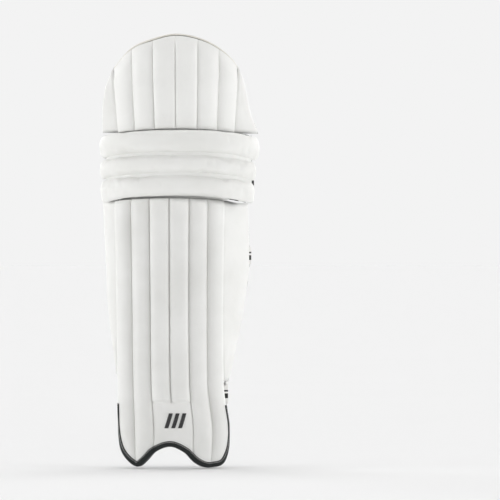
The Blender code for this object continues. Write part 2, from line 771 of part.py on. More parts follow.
class Strap:
    """Base strap, folded tail, ring and ring tab at one height."""

    def __init__(self, label, middle_z, tilt, points, rim, rim_heading, tail_end_x):
        self.label = label
        self.middle_z = middle_z
        self.tilt = tilt
        self.path = smooth_path(points, 4)
        self.rim = rim
        self.rim_heading = rim_heading
        self.tail_end_x = tail_end_x
        h = headings(self.path)[0]
        out = (h[1], -h[0])
        self.heading = h
        self.out = out
        self.bar = (points[0][0] + out[0] * FOLD_R, points[0][1] + out[1] * FOLD_R)
        self.bar_z = self.height(self.bar[0])
        self.pivot = (self.bar[0], self.bar[1], self.bar_z)

    def height(self, x):
        return self.middle_z + self.tilt * x

    def outer_bar(self):
        e = self.rim_heading
        return self.rim[0] + e[0] * 8.0, self.rim[1] + e[1] * 8.0

    def make_base(self, pivot):
        path = cut_path(self.path, 6.0, 1e6)
        ribbon(self.label + "_strap_base", path, STRAP, self.height, STRAP_WIDTH, WEBBING, pivot)

    def make_tail(self):
        outer = offset_path(self.path, 2 * FOLD_R)
        kept = [p for p in outer[1:] if p[0] > self.tail_end_x or p[1] > 118]
        kept = [p for p in kept if p[0] > self.tail_end_x]
        fold = []
        start = math.atan2(-self.out[1], -self.out[0])
        for k in range(9):
            a = start + math.pi * k / 8 * self.turn()
            fold.append((self.bar[0] + FOLD_R * math.cos(a), self.bar[1] + FOLD_R * math.sin(a)))
        path = fold + kept
        ribbon(self.label + "_strap_tail", path, STRAP, self.height, STRAP_WIDTH, WEBBING, self.pivot)
        inner = offset_path(self.path, 2 * FOLD_R - STRAP / 2 - 0.3 - HOOK / 2)
        total = lengths([p for p in inner if p[0] > self.tail_end_x + 4])[-1]
        hook = cut_path([p for p in inner if p[0] > self.tail_end_x + 4], total - HOOK_LENGTH, total)
        ribbon(self.label + "_hook_pad", hook, HOOK, self.height, STRAP_WIDTH - 8, BLACK, self.pivot, 0.9)

    def turn(self):
        """Direction in which the fold goes round its bar, on the side away from the strap."""
        start = math.atan2(-self.out[1], -self.out[0])
        middle = (math.cos(start + math.pi / 2), math.sin(start + math.pi / 2))
        away = middle[0] * self.heading[0] + middle[1] * self.heading[1] < 0
        return 1 if away else -1

    def make_ring(self, pivot):
        a = self.outer_bar()
        b = self.bar
        span = math.hypot(b[0] - a[0], b[1] - a[1])
        r = ((b[0] - a[0]) / span, (b[1] - a[1]) / span)
        n = (r[1], -r[0])
        centre = ((a[0] + b[0]) / 2, (a[1] + b[1]) / 2)
        corner = 4.0
        outline = []
        for sx, sz, start in ((1, 1, 0), (-1, 1, 90), (-1, -1, 180), (1, -1, 270)):
            for k in range(5):
                angle = math.radians(start + 90 * k / 4)
                outline.append((sx * (span / 2 - corner) + corner * math.cos(angle),
                                sz * (RING_HEIGHT / 2 - corner) + corner * math.sin(angle), angle))
        rings = []
        for s, z, angle in outline:
            ring = []
            for j in range(6):
                t = 2 * math.pi * (j + 0.5) / 6
                out = ROD_R * math.cos(t)
                side = ROD_R * math.sin(t)
                x = centre[0] + r[0] * (s + out * math.cos(angle)) + n[0] * side
                y = centre[1] + r[1] * (s + out * math.cos(angle)) + n[1] * side
                ring.append((x, y, self.bar_z + z + out * math.sin(angle)))
            rings.append(ring)
        tube(self.label + "_ring", rings, PLASTIC, pivot, closed=True, roughness=0.3)

    def make_tab(self, pivot):
        e = self.rim_heading
        n = (e[1], -e[0]) if e[0] > 0 else (-e[1], e[0])
        bar = self.outer_bar()
        r = ROD_R + 0.3 + TAB / 2
        path = [(self.rim[0] + e[0] * 0.6 + n[0] * 1.5, self.rim[1] + e[1] * 0.6 + n[1] * 1.5),
                (self.rim[0] + e[0] * 3.5 + n[0] * 2.0, self.rim[1] + e[1] * 3.5 + n[1] * 2.0)]
        for k in range(9):
            a = math.pi / 2 - math.pi * k / 8
            along_e = r * math.cos(a)
            along_n = r * math.sin(a)
            path.append((bar[0] + e[0] * along_e + n[0] * along_n,
                         bar[1] + e[1] * along_e + n[1] * along_n))
        path.append((self.rim[0] + e[0] * 3.5 - n[0] * 2.0, self.rim[1] + e[1] * 3.5 - n[1] * 2.0))
        path.append((self.rim[0] + e[0] * 0.6 - n[0] * 1.5, self.rim[1] + e[1] * 0.6 - n[1] * 1.5))
        ribbon(self.label + "_ring_tab", path, TAB, lambda x: self.bar_z, STRAP_WIDTH - 6, WEBBING, pivot)


def rim_middle(tip, heading, outward, half):
    return tip[0] - outward[0] * half, tip[1] - outward[1] * half


def make_straps():
    slope = (math.cos(FLAP_SLOPE), math.sin(FLAP_SLOPE))
    outward = (slope[1], -slope[0])

    calf_tip = flap_tip(shin_outer_root(340), along(340, WING_EDGE))
    calf_rim = rim_middle(calf_tip, slope, outward, FLAP_TIP / 2)
    inner_tip = flap_tip(shin_inner_root(340), along(340, INNER_EDGE))
    calf_end = (inner_tip[0] + outward[0] * 4.5 - slope[0] * 2.4,
                inner_tip[1] + 2.5 + slope[1] * 2.4)
    calf = Strap("calf", 340.0, 0.004,
                 [(105.5, 110.5), (88, 119), (50, 127.5), (5, 130.5), (-42, 126), (-80, 111), (-103, 88),
                  (-109.5, 74), calf_end], calf_rim, slope, -98.6)
    calf.make_base(None)
    calf.make_tail()
    calf.make_ring(WING_PIVOT)
    calf.make_tab(WING_PIVOT)

    limit = math.radians(49)
    knee_slope = (math.cos(limit), math.sin(limit))
    knee_rim = knee_point(KNEE_BACK_R - 10, limit, 0)[:2]
    knee_end = knee_point(KNEE_BACK_R - 10, -limit, 0)[:2]
    knee_end = (knee_end[0] - knee_slope[0] * 0.6, knee_end[1] + knee_slope[1] * 0.6)
    knee = Strap("knee", 461.0, 0.012,
                 [(111.5, 92.5), (98, 106), (62, 122), (12, 131), (-38, 128), (-80, 114), (-106, 94),
                  (-112, 84), knee_end], knee_rim, knee_slope, -107.0)
    knee.make_base(KNEE_PIVOT)
    knee.make_tail()
    knee.make_ring(KNEE_PIVOT)
    knee.make_tab(KNEE_PIVOT)

    arc_slope = (math.cos(ARC), math.sin(ARC))
    ankle_rim = shin_point(1, 100, 8)[:2]
    ankle_rim = (ankle_rim[0] + arc_slope[0], ankle_rim[1] + arc_slope[1])
    ankle_end = shin_point(-1, 109, 8)[:2]
    ankle_end = (ankle_end[0] - arc_slope[0] * 3.6, ankle_end[1] + arc_slope[1] * 3.6)
    ankle = Strap("ankle", 111.5, 0.055,
                  [(77, 62.5), (73, 77), (52, 95), (14, 105), (-30, 103), (-64, 87), (-84, 64),
                   (-90.5, 51), ankle_end], ankle_rim, arc_slope, -74.4)
    ankle.make_base(None)
    ankle.make_tail()
    ankle.make_ring(None)
    ankle.make_tab(None)
    return calf, knee, ankle


# ---------------------------------------------------------------- labels

def make_labels():
    front = []
    back = []
    for q in (0.72, 0.86, 0.985):
        row_a = []
        row_b = []
        for z in (368.0, 382.0, 396.0, 409.0):
            root = shin_outer_root(z)
            edge = along(z, WING_EDGE)
            row_a.append(flap_point(root, edge, 1, q, flap_thickness(q) + 0.4))
            row_b.append(flap_point(root, edge, 1, q, flap_thickness(q) + 0.9))
        front.append(row_a)
        back.append(row_b)
    plate("wing_label", front, back, PLASTIC, WING_PIVOT)


def clear_scene():
    for piece in list(bpy.data.objects):
        bpy.data.objects.remove(piece, do_unlink=True)
    for mesh in list(bpy.data.meshes):
        bpy.data.meshes.remove(mesh)
    for finish in list(bpy.data.materials):
        bpy.data.materials.remove(finish)


clear_scene()
make_shin_cover()
make_shin_cores()
make_shin_board()
make_instep_lining()
make_back_bolster("shin_inner_bolster", -0.985, -0.41, SAGE, False)
make_back_bolster("shin_centre_bolster", -0.40, 0.50, BLACK, True)
make_outer_bolster()
make_inner_strip()
make_instep_binding()
make_outer_wing()
make_roll("knee_roll_upper", 525.0, 19.0, -123.3, 136.6)
make_roll("knee_roll_middle", 488.9, 16.6, -123.0, 131.8)
make_roll("knee_roll_lower", 454.4, 17.4, -122.0, 128.8)
make_knee_back()
make_top()
make_top_piping()
STRAPS = make_straps()
make_labels()
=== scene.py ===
"""Looks of the cricket leg pad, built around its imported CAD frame."""
import math

import bmesh
import bpy
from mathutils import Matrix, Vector, kdtree, noise


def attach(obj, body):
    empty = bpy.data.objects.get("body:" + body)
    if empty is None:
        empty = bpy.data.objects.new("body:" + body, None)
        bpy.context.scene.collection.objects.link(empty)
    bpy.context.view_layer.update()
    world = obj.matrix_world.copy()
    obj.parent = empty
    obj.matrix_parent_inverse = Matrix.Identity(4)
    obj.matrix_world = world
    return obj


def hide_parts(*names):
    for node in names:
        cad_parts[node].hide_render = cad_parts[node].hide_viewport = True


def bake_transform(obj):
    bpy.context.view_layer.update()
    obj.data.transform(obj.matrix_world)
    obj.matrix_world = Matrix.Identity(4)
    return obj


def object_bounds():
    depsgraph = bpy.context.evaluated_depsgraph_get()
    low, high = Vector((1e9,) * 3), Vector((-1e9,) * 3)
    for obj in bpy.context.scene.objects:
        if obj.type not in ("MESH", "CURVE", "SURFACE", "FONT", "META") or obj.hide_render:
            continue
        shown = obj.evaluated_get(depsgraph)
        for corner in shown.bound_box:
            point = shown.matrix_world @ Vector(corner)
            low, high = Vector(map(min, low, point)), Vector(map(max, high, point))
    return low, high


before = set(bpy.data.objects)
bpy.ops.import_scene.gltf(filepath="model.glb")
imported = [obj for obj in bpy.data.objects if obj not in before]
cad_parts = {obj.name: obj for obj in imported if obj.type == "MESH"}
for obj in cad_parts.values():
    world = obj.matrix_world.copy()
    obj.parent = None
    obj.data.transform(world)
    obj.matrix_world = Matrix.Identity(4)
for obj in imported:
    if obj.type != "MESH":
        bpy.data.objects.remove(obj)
CAD_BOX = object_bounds()

# ------------------------------------------------------------------ the frame's own measures, in mm
BASE = (-5.0, 36.5, 285.0)
ARC = math.radians(42)
RIDGES = 6
RIDGE_RISE = 8.4
CORE_BACK = 12.0
PADDING_FRONT = 15.6
SHIN_TOP, SHIN_TOP_DROP = 434.5, 4.5
BACK_TOP, BACK_TOP_DROP, BACK_BOTTOM = 431.0, 5.0, 139.0
PATCH_TOP = 104.5
TOP_BOTTOM = 545.0
LEAN = 0.03
KNEE_CENTRE_X, KNEE_CENTRE_Y, KNEE_BACK_R = 6.0, 170.0, 160.0
ROLL_DEPTH, DROP_INNER, DROP_OUTER = 34.0, 10.0, 13.0
ROLL_TAPER, ROLL_TAPER_POWER = 0.56, 2.6
FLAP_SLOPE, TOP_SLOPE = math.radians(58), math.radians(44)
FLAP_ROOT, FLAP_TIP = 15.0, 7.0
STRAP_WIDTH, STRAP, FOLD_R, ROD_R = 34.0, 2.4, 3.7, 1.7
RING_HEIGHT = 39.4
CUSHION_R = 153.0
STITCH_INSET = 6.0
FLOOR_WHITE, WALL_WHITE, DIM_ABOVE = 0.832, 0.896, 0.25
SHARP_ANGLE = 60.0
CLOTH_FRAMES = 20
CUSHION_DROP_INNER, CUSHION_DROP_OUTER, CUSHION_DROP_TOP = 5.0, 13.0, 3.0

SHIN_INNER_EDGE = [(0, -90), (60, -91), (107, -92), (161, -93), (269, -94.3), (420, -97.5)]
SHIN_OUTER_EDGE = [(0, 84), (60, 86.5), (107, 80), (134, 77.5), (269, 76.5), (420, 78.7)]
LOWER_EDGE = [(-92, 62), (-88, 36), (-82, 21), (-69, 6), (-60, 2), (-48, 11), (-33, 26), (-7, 34.6),
              (18, 24), (34, 9), (50, 1), (64, 1), (77, 6), (84, 21), (88, 45)]
WING_EDGE = [(134, 84.5), (157, 89.4), (198, 98.5), (243, 107.5), (284, 114.3), (311, 117.7),
             (361, 118.7), (418, 117)]
INNER_EDGE = [(150, -95), (220, -103.5), (266, -109), (342, -112), (420, -116)]
TOP_INNER_EDGE = [(543, -92.8), (625, -99.4), (660, -100)]
TOP_OUTER_EDGE = [(543, 95.5), (625, 100.3), (660, 100.5)]
TOP_OUTLINE = [(-104, 636), (-99, 645), (-72, 674), (-37, 688.5), (0, 696.5), (37, 691), (70, 676),
               (94, 656), (104, 640)]
TOP_WING_EDGE = [(541, 133), (568, 122.5), (590, 117), (622, 110.5), (638, 105), (648, 101.5)]
TOP_STRIP_EDGE = [(536, -116.6), (560, -118), (588, -117), (614, -112.5), (632, -105.5), (645, -101)]


def row(p):
    """Plan millimetres to the row frame in metres."""
    return Vector(((p[0] - BASE[0]) / 1000, (p[1] - BASE[1]) / 1000, (p[2] - BASE[2]) / 1000))


def along(x, points):
    if x <= points[0][0]:
        return points[0][1]
    if x >= points[-1][0]:
        return points[-1][1]
    last = len(points) - 1
    i = max(k for k in range(last) if points[k][0] <= x)
    x0, y0 = points[i]
    x1, y1 = points[i + 1]
    xa, ya = points[max(i - 1, 0)]
    xb, yb = points[min(i + 2, last)]
    slope0 = (y1 - ya) / (x1 - xa)
    slope1 = (yb - y0) / (xb - x0)
    w = x1 - x0
    t = (x - x0) / w
    a = (1 + 2 * t) * (1 - t) ** 2 * y0 + t * (1 - t) ** 2 * w * slope0
    return a + t * t * (3 - 2 * t) * y1 + t * t * (t - 1) * w * slope1


def ease(x):
    x = min(max(x, 0.0), 1.0)
    return x * x * (3 - 2 * x)


def dome(t, power):
    return max(1 - abs(2 * t - 1) ** power, 0.0) ** 0.5


def spread(count):
    return [(1 - math.cos(math.pi * k / count)) / 2 for k in range(count + 1)]


def even(count):
    return [k / count for k in range(count + 1)]


def both_sides(count):
    """Even steps from -1 to 1."""
    return [-1 + 2 * k / count for k in range(count + 1)]


def turns(count):
    """Even steps round a circle."""
    return [2 * math.pi * k / count for k in range(count)]


def moved(p, *steps):
    """Plan point moved by steps of (direction, distance)."""
    x, y = p[:2]
    for (across, along_y), distance in steps:
        x += across * distance
        y += along_y * distance
    return x, y


def rounded(end, reach):
    """Height of a quarter round that rises from 0 to 1 over reach."""
    return (1 - (1 - min(max(end / reach, 0), 1)) ** 2) ** 0.5


def wave(a, b, c=0.0):
    """Smooth noise from about -1 to 1."""
    return noise.noise(Vector((a, b, c)))


def arc_point(left, right, front, u, depth):
    half = (right - left) / 2
    radius = half / math.sin(ARC)
    x = (right + left) / 2 + (radius - depth) * math.sin(u * ARC)
    return x, front + radius - (radius - depth) * math.cos(u * ARC)


def shin_point(u, z, depth):
    x, y = arc_point(along(z, SHIN_INNER_EDGE), along(z, SHIN_OUTER_EDGE), 0.0, u, depth)
    return x, y, z


def top_point(u, z, depth):
    front = (z - 543) * LEAN
    x, y = arc_point(along(z, TOP_INNER_EDGE), along(z, TOP_OUTER_EDGE), front, u, depth)
    return x, y, z


def lower_edge(u):
    return along(shin_point(u, 35, 0)[0], LOWER_EDGE)


def shin_top(u):
    return SHIN_TOP - SHIN_TOP_DROP * u * u


def top_outline(u):
    return along(top_point(u, 640, 0)[0], TOP_OUTLINE)


def top_bottom(u):
    return TOP_BOTTOM - 6 * u * u


def ridge(u, z=0.0):
    """Rounded ridge between two stitched seams, which waver a little as sewing does."""
    t = ((u + 1) * RIDGES / 2) % 1.0
    return dome(t, 2.1) * (1 + 0.05 * wave(z / 60, math.floor((u + 1) * 3) * 3.1))


def shin_rise(u, z):
    rise = RIDGE_RISE * ridge(u, z)
    if abs(u) < 0.334:
        patch = 4.0 * dome(min(max((u + 1 / 3) * 1.5, 0), 1), 4)
        mix = ease((z - PATCH_TOP + 3) / 5)
        rise = rise * mix + patch * (1 - mix)
        rise -= 2.2 * math.exp(-((z - PATCH_TOP) / 2.0) ** 2)
    return rise * (0.4 + 0.6 * ease((z - lower_edge(u)) / 45))


def rim_depth(u, z):
    return CORE_BACK * (0.45 + 0.55 * ease((z - lower_edge(u)) / 45))


def top_rise(u, z):
    return 6.0 * ridge(u, z) * (0.3 + 0.7 * ease((top_outline(u) - z) / 26))


def flap_point(root, edge_x, side, q, depth, slope=FLAP_SLOPE):
    e = (side * math.cos(slope), math.sin(slope))
    length = max(abs(edge_x - root[0]), 1.0) / math.cos(slope)
    angle = ARC + (slope - ARC) * ease(q * 3)
    inward = (-side * math.sin(angle), math.cos(angle))
    run = 0.5 + (length - 0.5) * q
    return root[0] + e[0] * run + inward[0] * depth, root[1] + e[1] * run + inward[1] * depth, root[2]


def flap_thickness(q):
    return FLAP_ROOT + (FLAP_TIP - FLAP_ROOT) * q


def knee_drop(t):
    return (DROP_OUTER if t > 0 else DROP_INNER) * t * t


def knee_point(radius, angle, z):
    x = KNEE_CENTRE_X + radius * math.sin(angle)
    return x, KNEE_CENTRE_Y - radius * math.cos(angle), z


# ------------------------------------------------------------------ materials

class Value:
    """A number inside a material: arithmetic on it adds Math nodes."""

    def __init__(self, shader, socket):
        self.shader, self.socket = shader, socket

    def __add__(self, other):
        return self.shader.math("ADD", self, other)

    def __sub__(self, other):
        return self.shader.math("SUBTRACT", self, other)

    def __rsub__(self, other):
        return self.shader.math("SUBTRACT", other, self)

    def __mul__(self, other):
        return self.shader.math("MULTIPLY", self, other)

    def __truediv__(self, other):
        return self.shader.math("DIVIDE", self, other)

    def __pow__(self, power):
        return self.shader.math("POWER", self, power)

    def __lt__(self, other):
        return self.shader.math("LESS_THAN", self, other)

    def __gt__(self, other):
        return self.shader.math("GREATER_THAN", self, other)

    def __or__(self, other):
        return self.shader.math("MAXIMUM", self, other)

    def __abs__(self):
        return self.shader.math("ABSOLUTE", self)

    def fraction(self):
        return self.shader.math("FRACT", self)

    def sine(self, period):
        return self.shader.math("SINE", self * (2 * math.pi / period))

    def within(self, low, high):
        return (self > low) * (self < high)


class Shader:
    """A node material under construction."""

    def __init__(self, name):
        self.material = bpy.data.materials.new(name)
        self.material.use_nodes = True
        self.tree = self.material.node_tree
        self.bsdf = self.tree.nodes["Principled BSDF"]
        self.coordinates = self.node("ShaderNodeTexCoord")
        self.place = self.coordinates.outputs["Object"]
        self.height = None

    def connect(self, value, target):
        value = value.socket if isinstance(value, Value) else value
        if isinstance(value, bpy.types.NodeSocket):
            self.tree.links.new(value, target)
        else:
            target.default_value = value

    def node(self, kind, inputs=None, **props):
        made = self.tree.nodes.new(kind)
        for key, value in props.items():
            setattr(made, key, value)
        for key, value in (inputs or {}).items():
            self.connect(value, made.inputs[key])
        return made

    def number(self, kind, inputs, **props):
        return Value(self, self.node(kind, inputs, **props).outputs[0])

    def axes(self, kind="Object"):
        split = self.node("ShaderNodeSeparateXYZ", {0: self.coordinates.outputs[kind]})
        return [Value(self, split.outputs[k]) for k in range(3)]

    def math(self, operation, a, b=0.0):
        return self.number("ShaderNodeMath", {0: a, 1: b}, operation=operation)

    def noise(self, scale, detail=3.0, roughness=0.5, vector=None):
        return self.number("ShaderNodeTexNoise", {"Vector": vector or self.place, "Scale": scale,
                                                  "Detail": detail, "Roughness": roughness})

    def cells(self, scale, feature="F1"):
        return self.number("ShaderNodeTexVoronoi", {"Vector": self.place, "Scale": scale}, feature=feature)

    def span(self, value, low, high, to_low=0.0, to_high=1.0):
        return self.number("ShaderNodeMapRange", {0: value, 1: low, 2: high, 3: to_low, 4: to_high})

    def patches(self, scale, detail=3.0, low=0.0, high=1.0):
        """Soft patches of noise from low to high."""
        return self.span(self.noise(scale, detail), 0.3, 0.7, low, high)

    def mix(self, share, a, b):
        made = self.node("ShaderNodeMix", data_type="RGBA")
        for index, value in ((0, share), (6, a), (7, b)):
            self.connect((*value, 1) if isinstance(value, tuple) else value, made.inputs[index])
        return made.outputs[2]

    def colour(self, value):
        self.connect(value, self.bsdf.inputs["Base Color"])
        return self

    def rough(self, value):
        self.connect(value, self.bsdf.inputs["Roughness"])
        return self

    def bump(self, height, distance, strength=1.0):
        """Stacks one more layer of relief, distance metres deep."""
        extra = {"Normal": self.height} if self.height else {}
        self.height = self.node("ShaderNodeBump", {"Height": height, "Distance": distance,
                                                   "Strength": strength, **extra}).outputs[0]
        self.tree.links.new(self.height, self.bsdf.inputs["Normal"])
        return self

    def weave(self, pitch, a, b, distance, diagonal=False):
        """Plain or twill weave of crossing threads."""
        height = (a + b).sine(pitch) if diagonal else a.sine(pitch) * b.sine(pitch)
        return self.bump(height * 0.5 + 0.5, distance)

    def grain(self):
        """Fine pebble of coated leather over slow unevenness."""
        self.bump(self.cells(1050.0, "SMOOTH_F1"), 0.00022, 0.55)
        self.bump(self.noise(420.0, 5.0, 0.6), 0.00018, 0.5)
        return self.bump(self.noise(60.0), 0.0009, 0.35)

    def fixed(self, **values):
        for key, value in values.items():
            self.bsdf.inputs[key.replace("_", " ")].default_value = value
        return self


def white_leather(name, light, shade):
    s = Shader(name)
    cloud = s.span(s.noise(14.0, 4.0), 0.35, 0.65)
    scuff = s.span(s.noise(55.0, 6.0, 0.7), 0.62, 0.78)
    s.colour(s.mix(scuff * 0.25, s.mix(cloud, light, shade), (0.70, 0.69, 0.66)))
    s.rough(s.patches(40.0, 4.0, 0.42, 0.58)).grain()
    return s.fixed(Specular_IOR_Level=0.42, Sheen_Weight=0.06, Coat_Weight=0.06,
                   Coat_Roughness=0.35).material


def roll_leather():
    """White leather, painted lighter than the shin's leather as painted light from above, with the black backing
    cloth that the leg side and the ends of the rolls show.
    """
    lip_height, lip_share, back_share, end_y = 0.163, 0.12, 0.42, 0.0205
    s = Shader("knee_roll_leather")
    x, y, z = s.axes()
    # painted light: the rolls' white is a lighter copy of the shin leather, standing in for the stronger light
    # from above on the rolls
    white = s.mix(s.span(s.noise(14.0, 4.0), 0.35, 0.65), (0.845, 0.845, 0.825), (0.80, 0.80, 0.775))
    middle = row((KNEE_CENTRE_X, KNEE_CENTRE_Y, 0))
    dx, dy = x - middle.x, y - middle.y
    away = (dx * dx + dy * dy) ** 0.5
    depth = (1.0 - (abs(dx) / 0.128) ** ROLL_TAPER_POWER * ROLL_TAPER) * (ROLL_DEPTH / 1000)
    limit = depth * ((z < lip_height) * lip_share + back_share) + KNEE_BACK_R / 1000
    s.colour(s.mix((away < limit) | (y > end_y), white, (0.009, 0.0085, 0.010)))
    s.rough(s.patches(40.0, 4.0, 0.46, 0.62)).grain()
    return s.fixed(Specular_IOR_Level=0.36, Sheen_Weight=0.06).material


def black_cloth(name):
    """Brushed nylon lining, deep black with a faint lighter nap: the shader, its axes and its colour."""
    s = Shader(name)
    x, _, z = s.axes()
    nap = s.span(s.noise(70.0, 6.0, 0.65), 0.35, 0.7)
    base = s.mix(nap * 0.55, (0.0055, 0.0052, 0.0062), (0.0125, 0.012, 0.014))
    s.rough(s.patches(180.0, 4.0, 0.62, 0.82)).weave(0.0011, x, z, 0.00016)
    s.bump(s.noise(90.0, 4.0), 0.0006, 0.4)
    s.fixed(Sheen_Weight=0.035, Sheen_Roughness=0.45, Specular_IOR_Level=0.16)
    return s, x, z, base


def black_lining(name):
    s, x, z, base = black_cloth(name)
    return s.colour(base).material


def printed_lines(x, z, slope, pitch, duty, bend=0.0):
    """Slanting printed lines: 1 on a line, 0 between; duty is the line's share of the pitch."""
    slant = x * x * bend - x * slope if bend else x * -slope
    return ((z + slant) / pitch).fraction() < duty


def outer_stripes():
    s, x, z, base = black_cloth("outer_bolster_print")
    lines = printed_lines(x, z, 0.40, 0.0051, s.span(z, -0.055, 0.146, 0.0, 0.56))
    ink = s.mix(s.patches(300.0), (0.40, 0.50, 0.45), (0.47, 0.57, 0.52))
    return s.colour(s.mix(lines, base, ink)).material


def inner_stripes():
    s, x, z, base = black_cloth("inner_bolster_print")
    lines = printed_lines(x, z, 0.62, 0.0056, s.span(z - x * 0.7, -0.08, 0.185, 0.0, 1.02), 3.2)
    ink = s.mix(s.patches(300.0), (0.40, 0.49, 0.44), (0.46, 0.55, 0.50))
    return s.colour(s.mix(lines, base, ink)).material


def top_lining_print():
    """Two bands of slanting lines, and two plain open arcs."""
    centre_x, centre_z, cos_tilt, sin_tilt, squeeze, cut = -0.0440, 0.3000, 0.94, 0.34, 1.9, -0.014
    s, x, z, base = black_cloth("top_lining_print")
    bands = x.within(0.0228, 0.076) | x.within(0.0826, 0.102)
    lines = printed_lines(x, z, 0.42, 0.0044, s.span(z, 0.255, 0.405, 0.62, 0.26)) * bands
    ink = s.mix(s.span(z, 0.27, 0.4), (0.30, 0.38, 0.42), (0.36, 0.42, 0.50))
    dx, dz = x - centre_x, z - centre_z
    lean = dx * cos_tilt - dz * sin_tilt
    rise = dz * cos_tilt + dx * sin_tilt
    wide = lean * squeeze
    away = (wide * wide + rise * rise) ** 0.5
    arcs = (away.within(0.0375, 0.0460) | away.within(0.0185, 0.0270)) * (rise - lean > cut)
    return s.colour(s.mix(arcs, s.mix(lines, base, ink), (0.74, 0.69, 0.67))).material


def centre_print():
    """Plain outlined chevrons down the middle bolster."""
    pitch, slope, middle, half, cells = 0.0335, 0.75, -0.0005, 0.0168, 4
    s, x, z, base = black_cloth("centre_bolster_print")
    off = abs(x - middle)
    slant = z + off * slope
    place = (slant / pitch).fraction()
    ink = place.within(0.06, 0.12) | place.within(0.50, 0.56) | (off > 0.0150) * place.within(0.06, 0.56)
    ink = ink | place.within(0.20, 0.42) * (off < 0.0128)
    inside = (off < half) * slant.within(-cells * pitch, cells * pitch)
    wear = s.span(s.noise(220.0, 5.0, 0.7), 0.25, 0.6) * 0.3 + 0.7
    return s.colour(s.mix(ink * inside * wear, base, (0.56, 0.55, 0.55))).material


def knee_print():
    """A plain arc over a bar on the centre knee cushion."""
    centre_x, centre_z = 0.0183, 0.2027
    s, x, z, base = black_cloth("knee_cushion_print")
    dx, dz = x - centre_x, z - centre_z
    arc = ((dx * dx + dz * dz) ** 0.5).within(0.0245, 0.0312) * (dz > 0.0095)
    bar = dz.within(-0.0040, 0.0015) * (abs(dx) < 0.0285)
    return s.colour(s.mix(arc | bar, base, (0.74, 0.73, 0.74))).material


def grey_satin():
    s = Shader("grey_satin_lining")
    x, _, z = s.axes()
    s.colour(s.mix(s.patches(30.0, 4.0), (0.60, 0.585, 0.62), (0.70, 0.69, 0.715)))
    s.rough(s.patches(25.0, 3.0, 0.30, 0.46)).weave(0.0009, x, z, 0.0001)
    return s.bump(s.noise(75.0, 4.0), 0.0012, 0.6).fixed(Sheen_Weight=0.3, Sheen_Roughness=0.3).material


def charcoal_binding():
    s = Shader("charcoal_binding_tape")
    x, _, z = s.axes()
    nap = s.patches(240.0, 5.0)
    s.colour(s.mix(nap, (0.008, 0.010, 0.010), (0.020, 0.024, 0.024)))
    s.rough(s.span(nap, 0, 1, 0.6, 0.8)).weave(0.0012, x, z, 0.00025, diagonal=True)
    return s.fixed(Sheen_Weight=0.08, Specular_IOR_Level=0.3).material


def webbing():
    """Woven strap, striped across its width; U runs along it in metres and V across it from 0 to 1."""
    s = Shader("striped_webbing")
    u, v, _ = s.axes("UV")
    ramp = s.node("ShaderNodeValToRGB", {0: v})
    ramp.color_ramp.interpolation = "CONSTANT"
    elements = ramp.color_ramp.elements
    for n, (place, value) in enumerate(((0.0, 1), (0.25, 0), (0.53, 1), (0.63, 0), (0.73, 1))):
        made = elements[n] if n < 2 else elements.new(place)
        made.position = place
        made.color = (value, value, value, 1)
    white = s.mix(s.patches(120.0, 5.0), (0.88, 0.87, 0.85), (0.79, 0.78, 0.75))
    twill = (u + v * 0.034).sine(0.0030)
    dark = s.mix(s.span(twill, -0.2, 0.6), (0.007, 0.007, 0.008), (0.040, 0.039, 0.037))
    s.colour(s.mix(ramp.outputs[0], dark, white)).rough(s.patches(300.0, 4.0, 0.65, 0.85))
    s.bump(u.sine(0.0016) * v.sine(1 / 24) * 0.5 + 0.5, 0.00035)
    return s.fixed(Sheen_Weight=0.08, Sheen_Roughness=0.5, Specular_IOR_Level=0.3).material


def loop_webbing():
    """Pale loop face of the base straps, with the bands showing faintly."""
    s = Shader("loop_webbing")
    u, v, _ = s.axes("UV")
    s.colour(s.mix(v.within(0.25, 0.53) * 0.5, (0.74, 0.73, 0.75), (0.56, 0.55, 0.62)))
    s.rough(s.patches(300.0, 4.0, 0.75, 0.9)).bump(s.noise(1500.0, 3.0, 0.8), 0.0006, 0.8)
    return s.fixed(Sheen_Weight=0.35, Sheen_Roughness=0.6).material


def white_plastic():
    s = Shader("white_moulded_plastic")
    s.colour(s.mix(s.patches(40.0), (0.84, 0.84, 0.83), (0.79, 0.79, 0.78)))
    s.rough(s.patches(160.0, 4.0, 0.26, 0.4)).bump(s.noise(900.0, 2.0), 0.00005, 0.5)
    return s.fixed(Coat_Weight=0.1).material


def thread(name, colour):
    s = Shader(name)
    s.colour(s.mix(s.patches(900.0, 2.0), colour, tuple(c * 0.82 for c in colour)))
    s.rough(s.patches(700.0, 3.0, 0.5, 0.7)).bump(s.noise(2500.0, 2.0), 0.0001, 0.6)
    return s.fixed(Sheen_Weight=0.2).material


def cane():
    s = Shader("cane_grain")
    stretch = s.node("ShaderNodeMapping", {0: s.place, 3: (1, 1, 0.05)}).outputs[0]
    grain = s.span(s.noise(420.0, 6.0, 0.6, stretch), 0.35, 0.65)
    s.colour(s.mix(grain, (0.50, 0.33, 0.15), (0.66, 0.48, 0.26)))
    return s.rough(s.span(grain, 0, 1, 0.45, 0.65)).bump(grain, 0.0003, 0.5).material


def foam(name, a, b):
    s = Shader(name)
    s.colour(s.mix(s.patches(120.0, 4.0), a, b)).rough(s.patches(200.0, 3.0, 0.8, 0.95))
    return s.bump(s.cells(700.0), 0.0005, 0.8).material


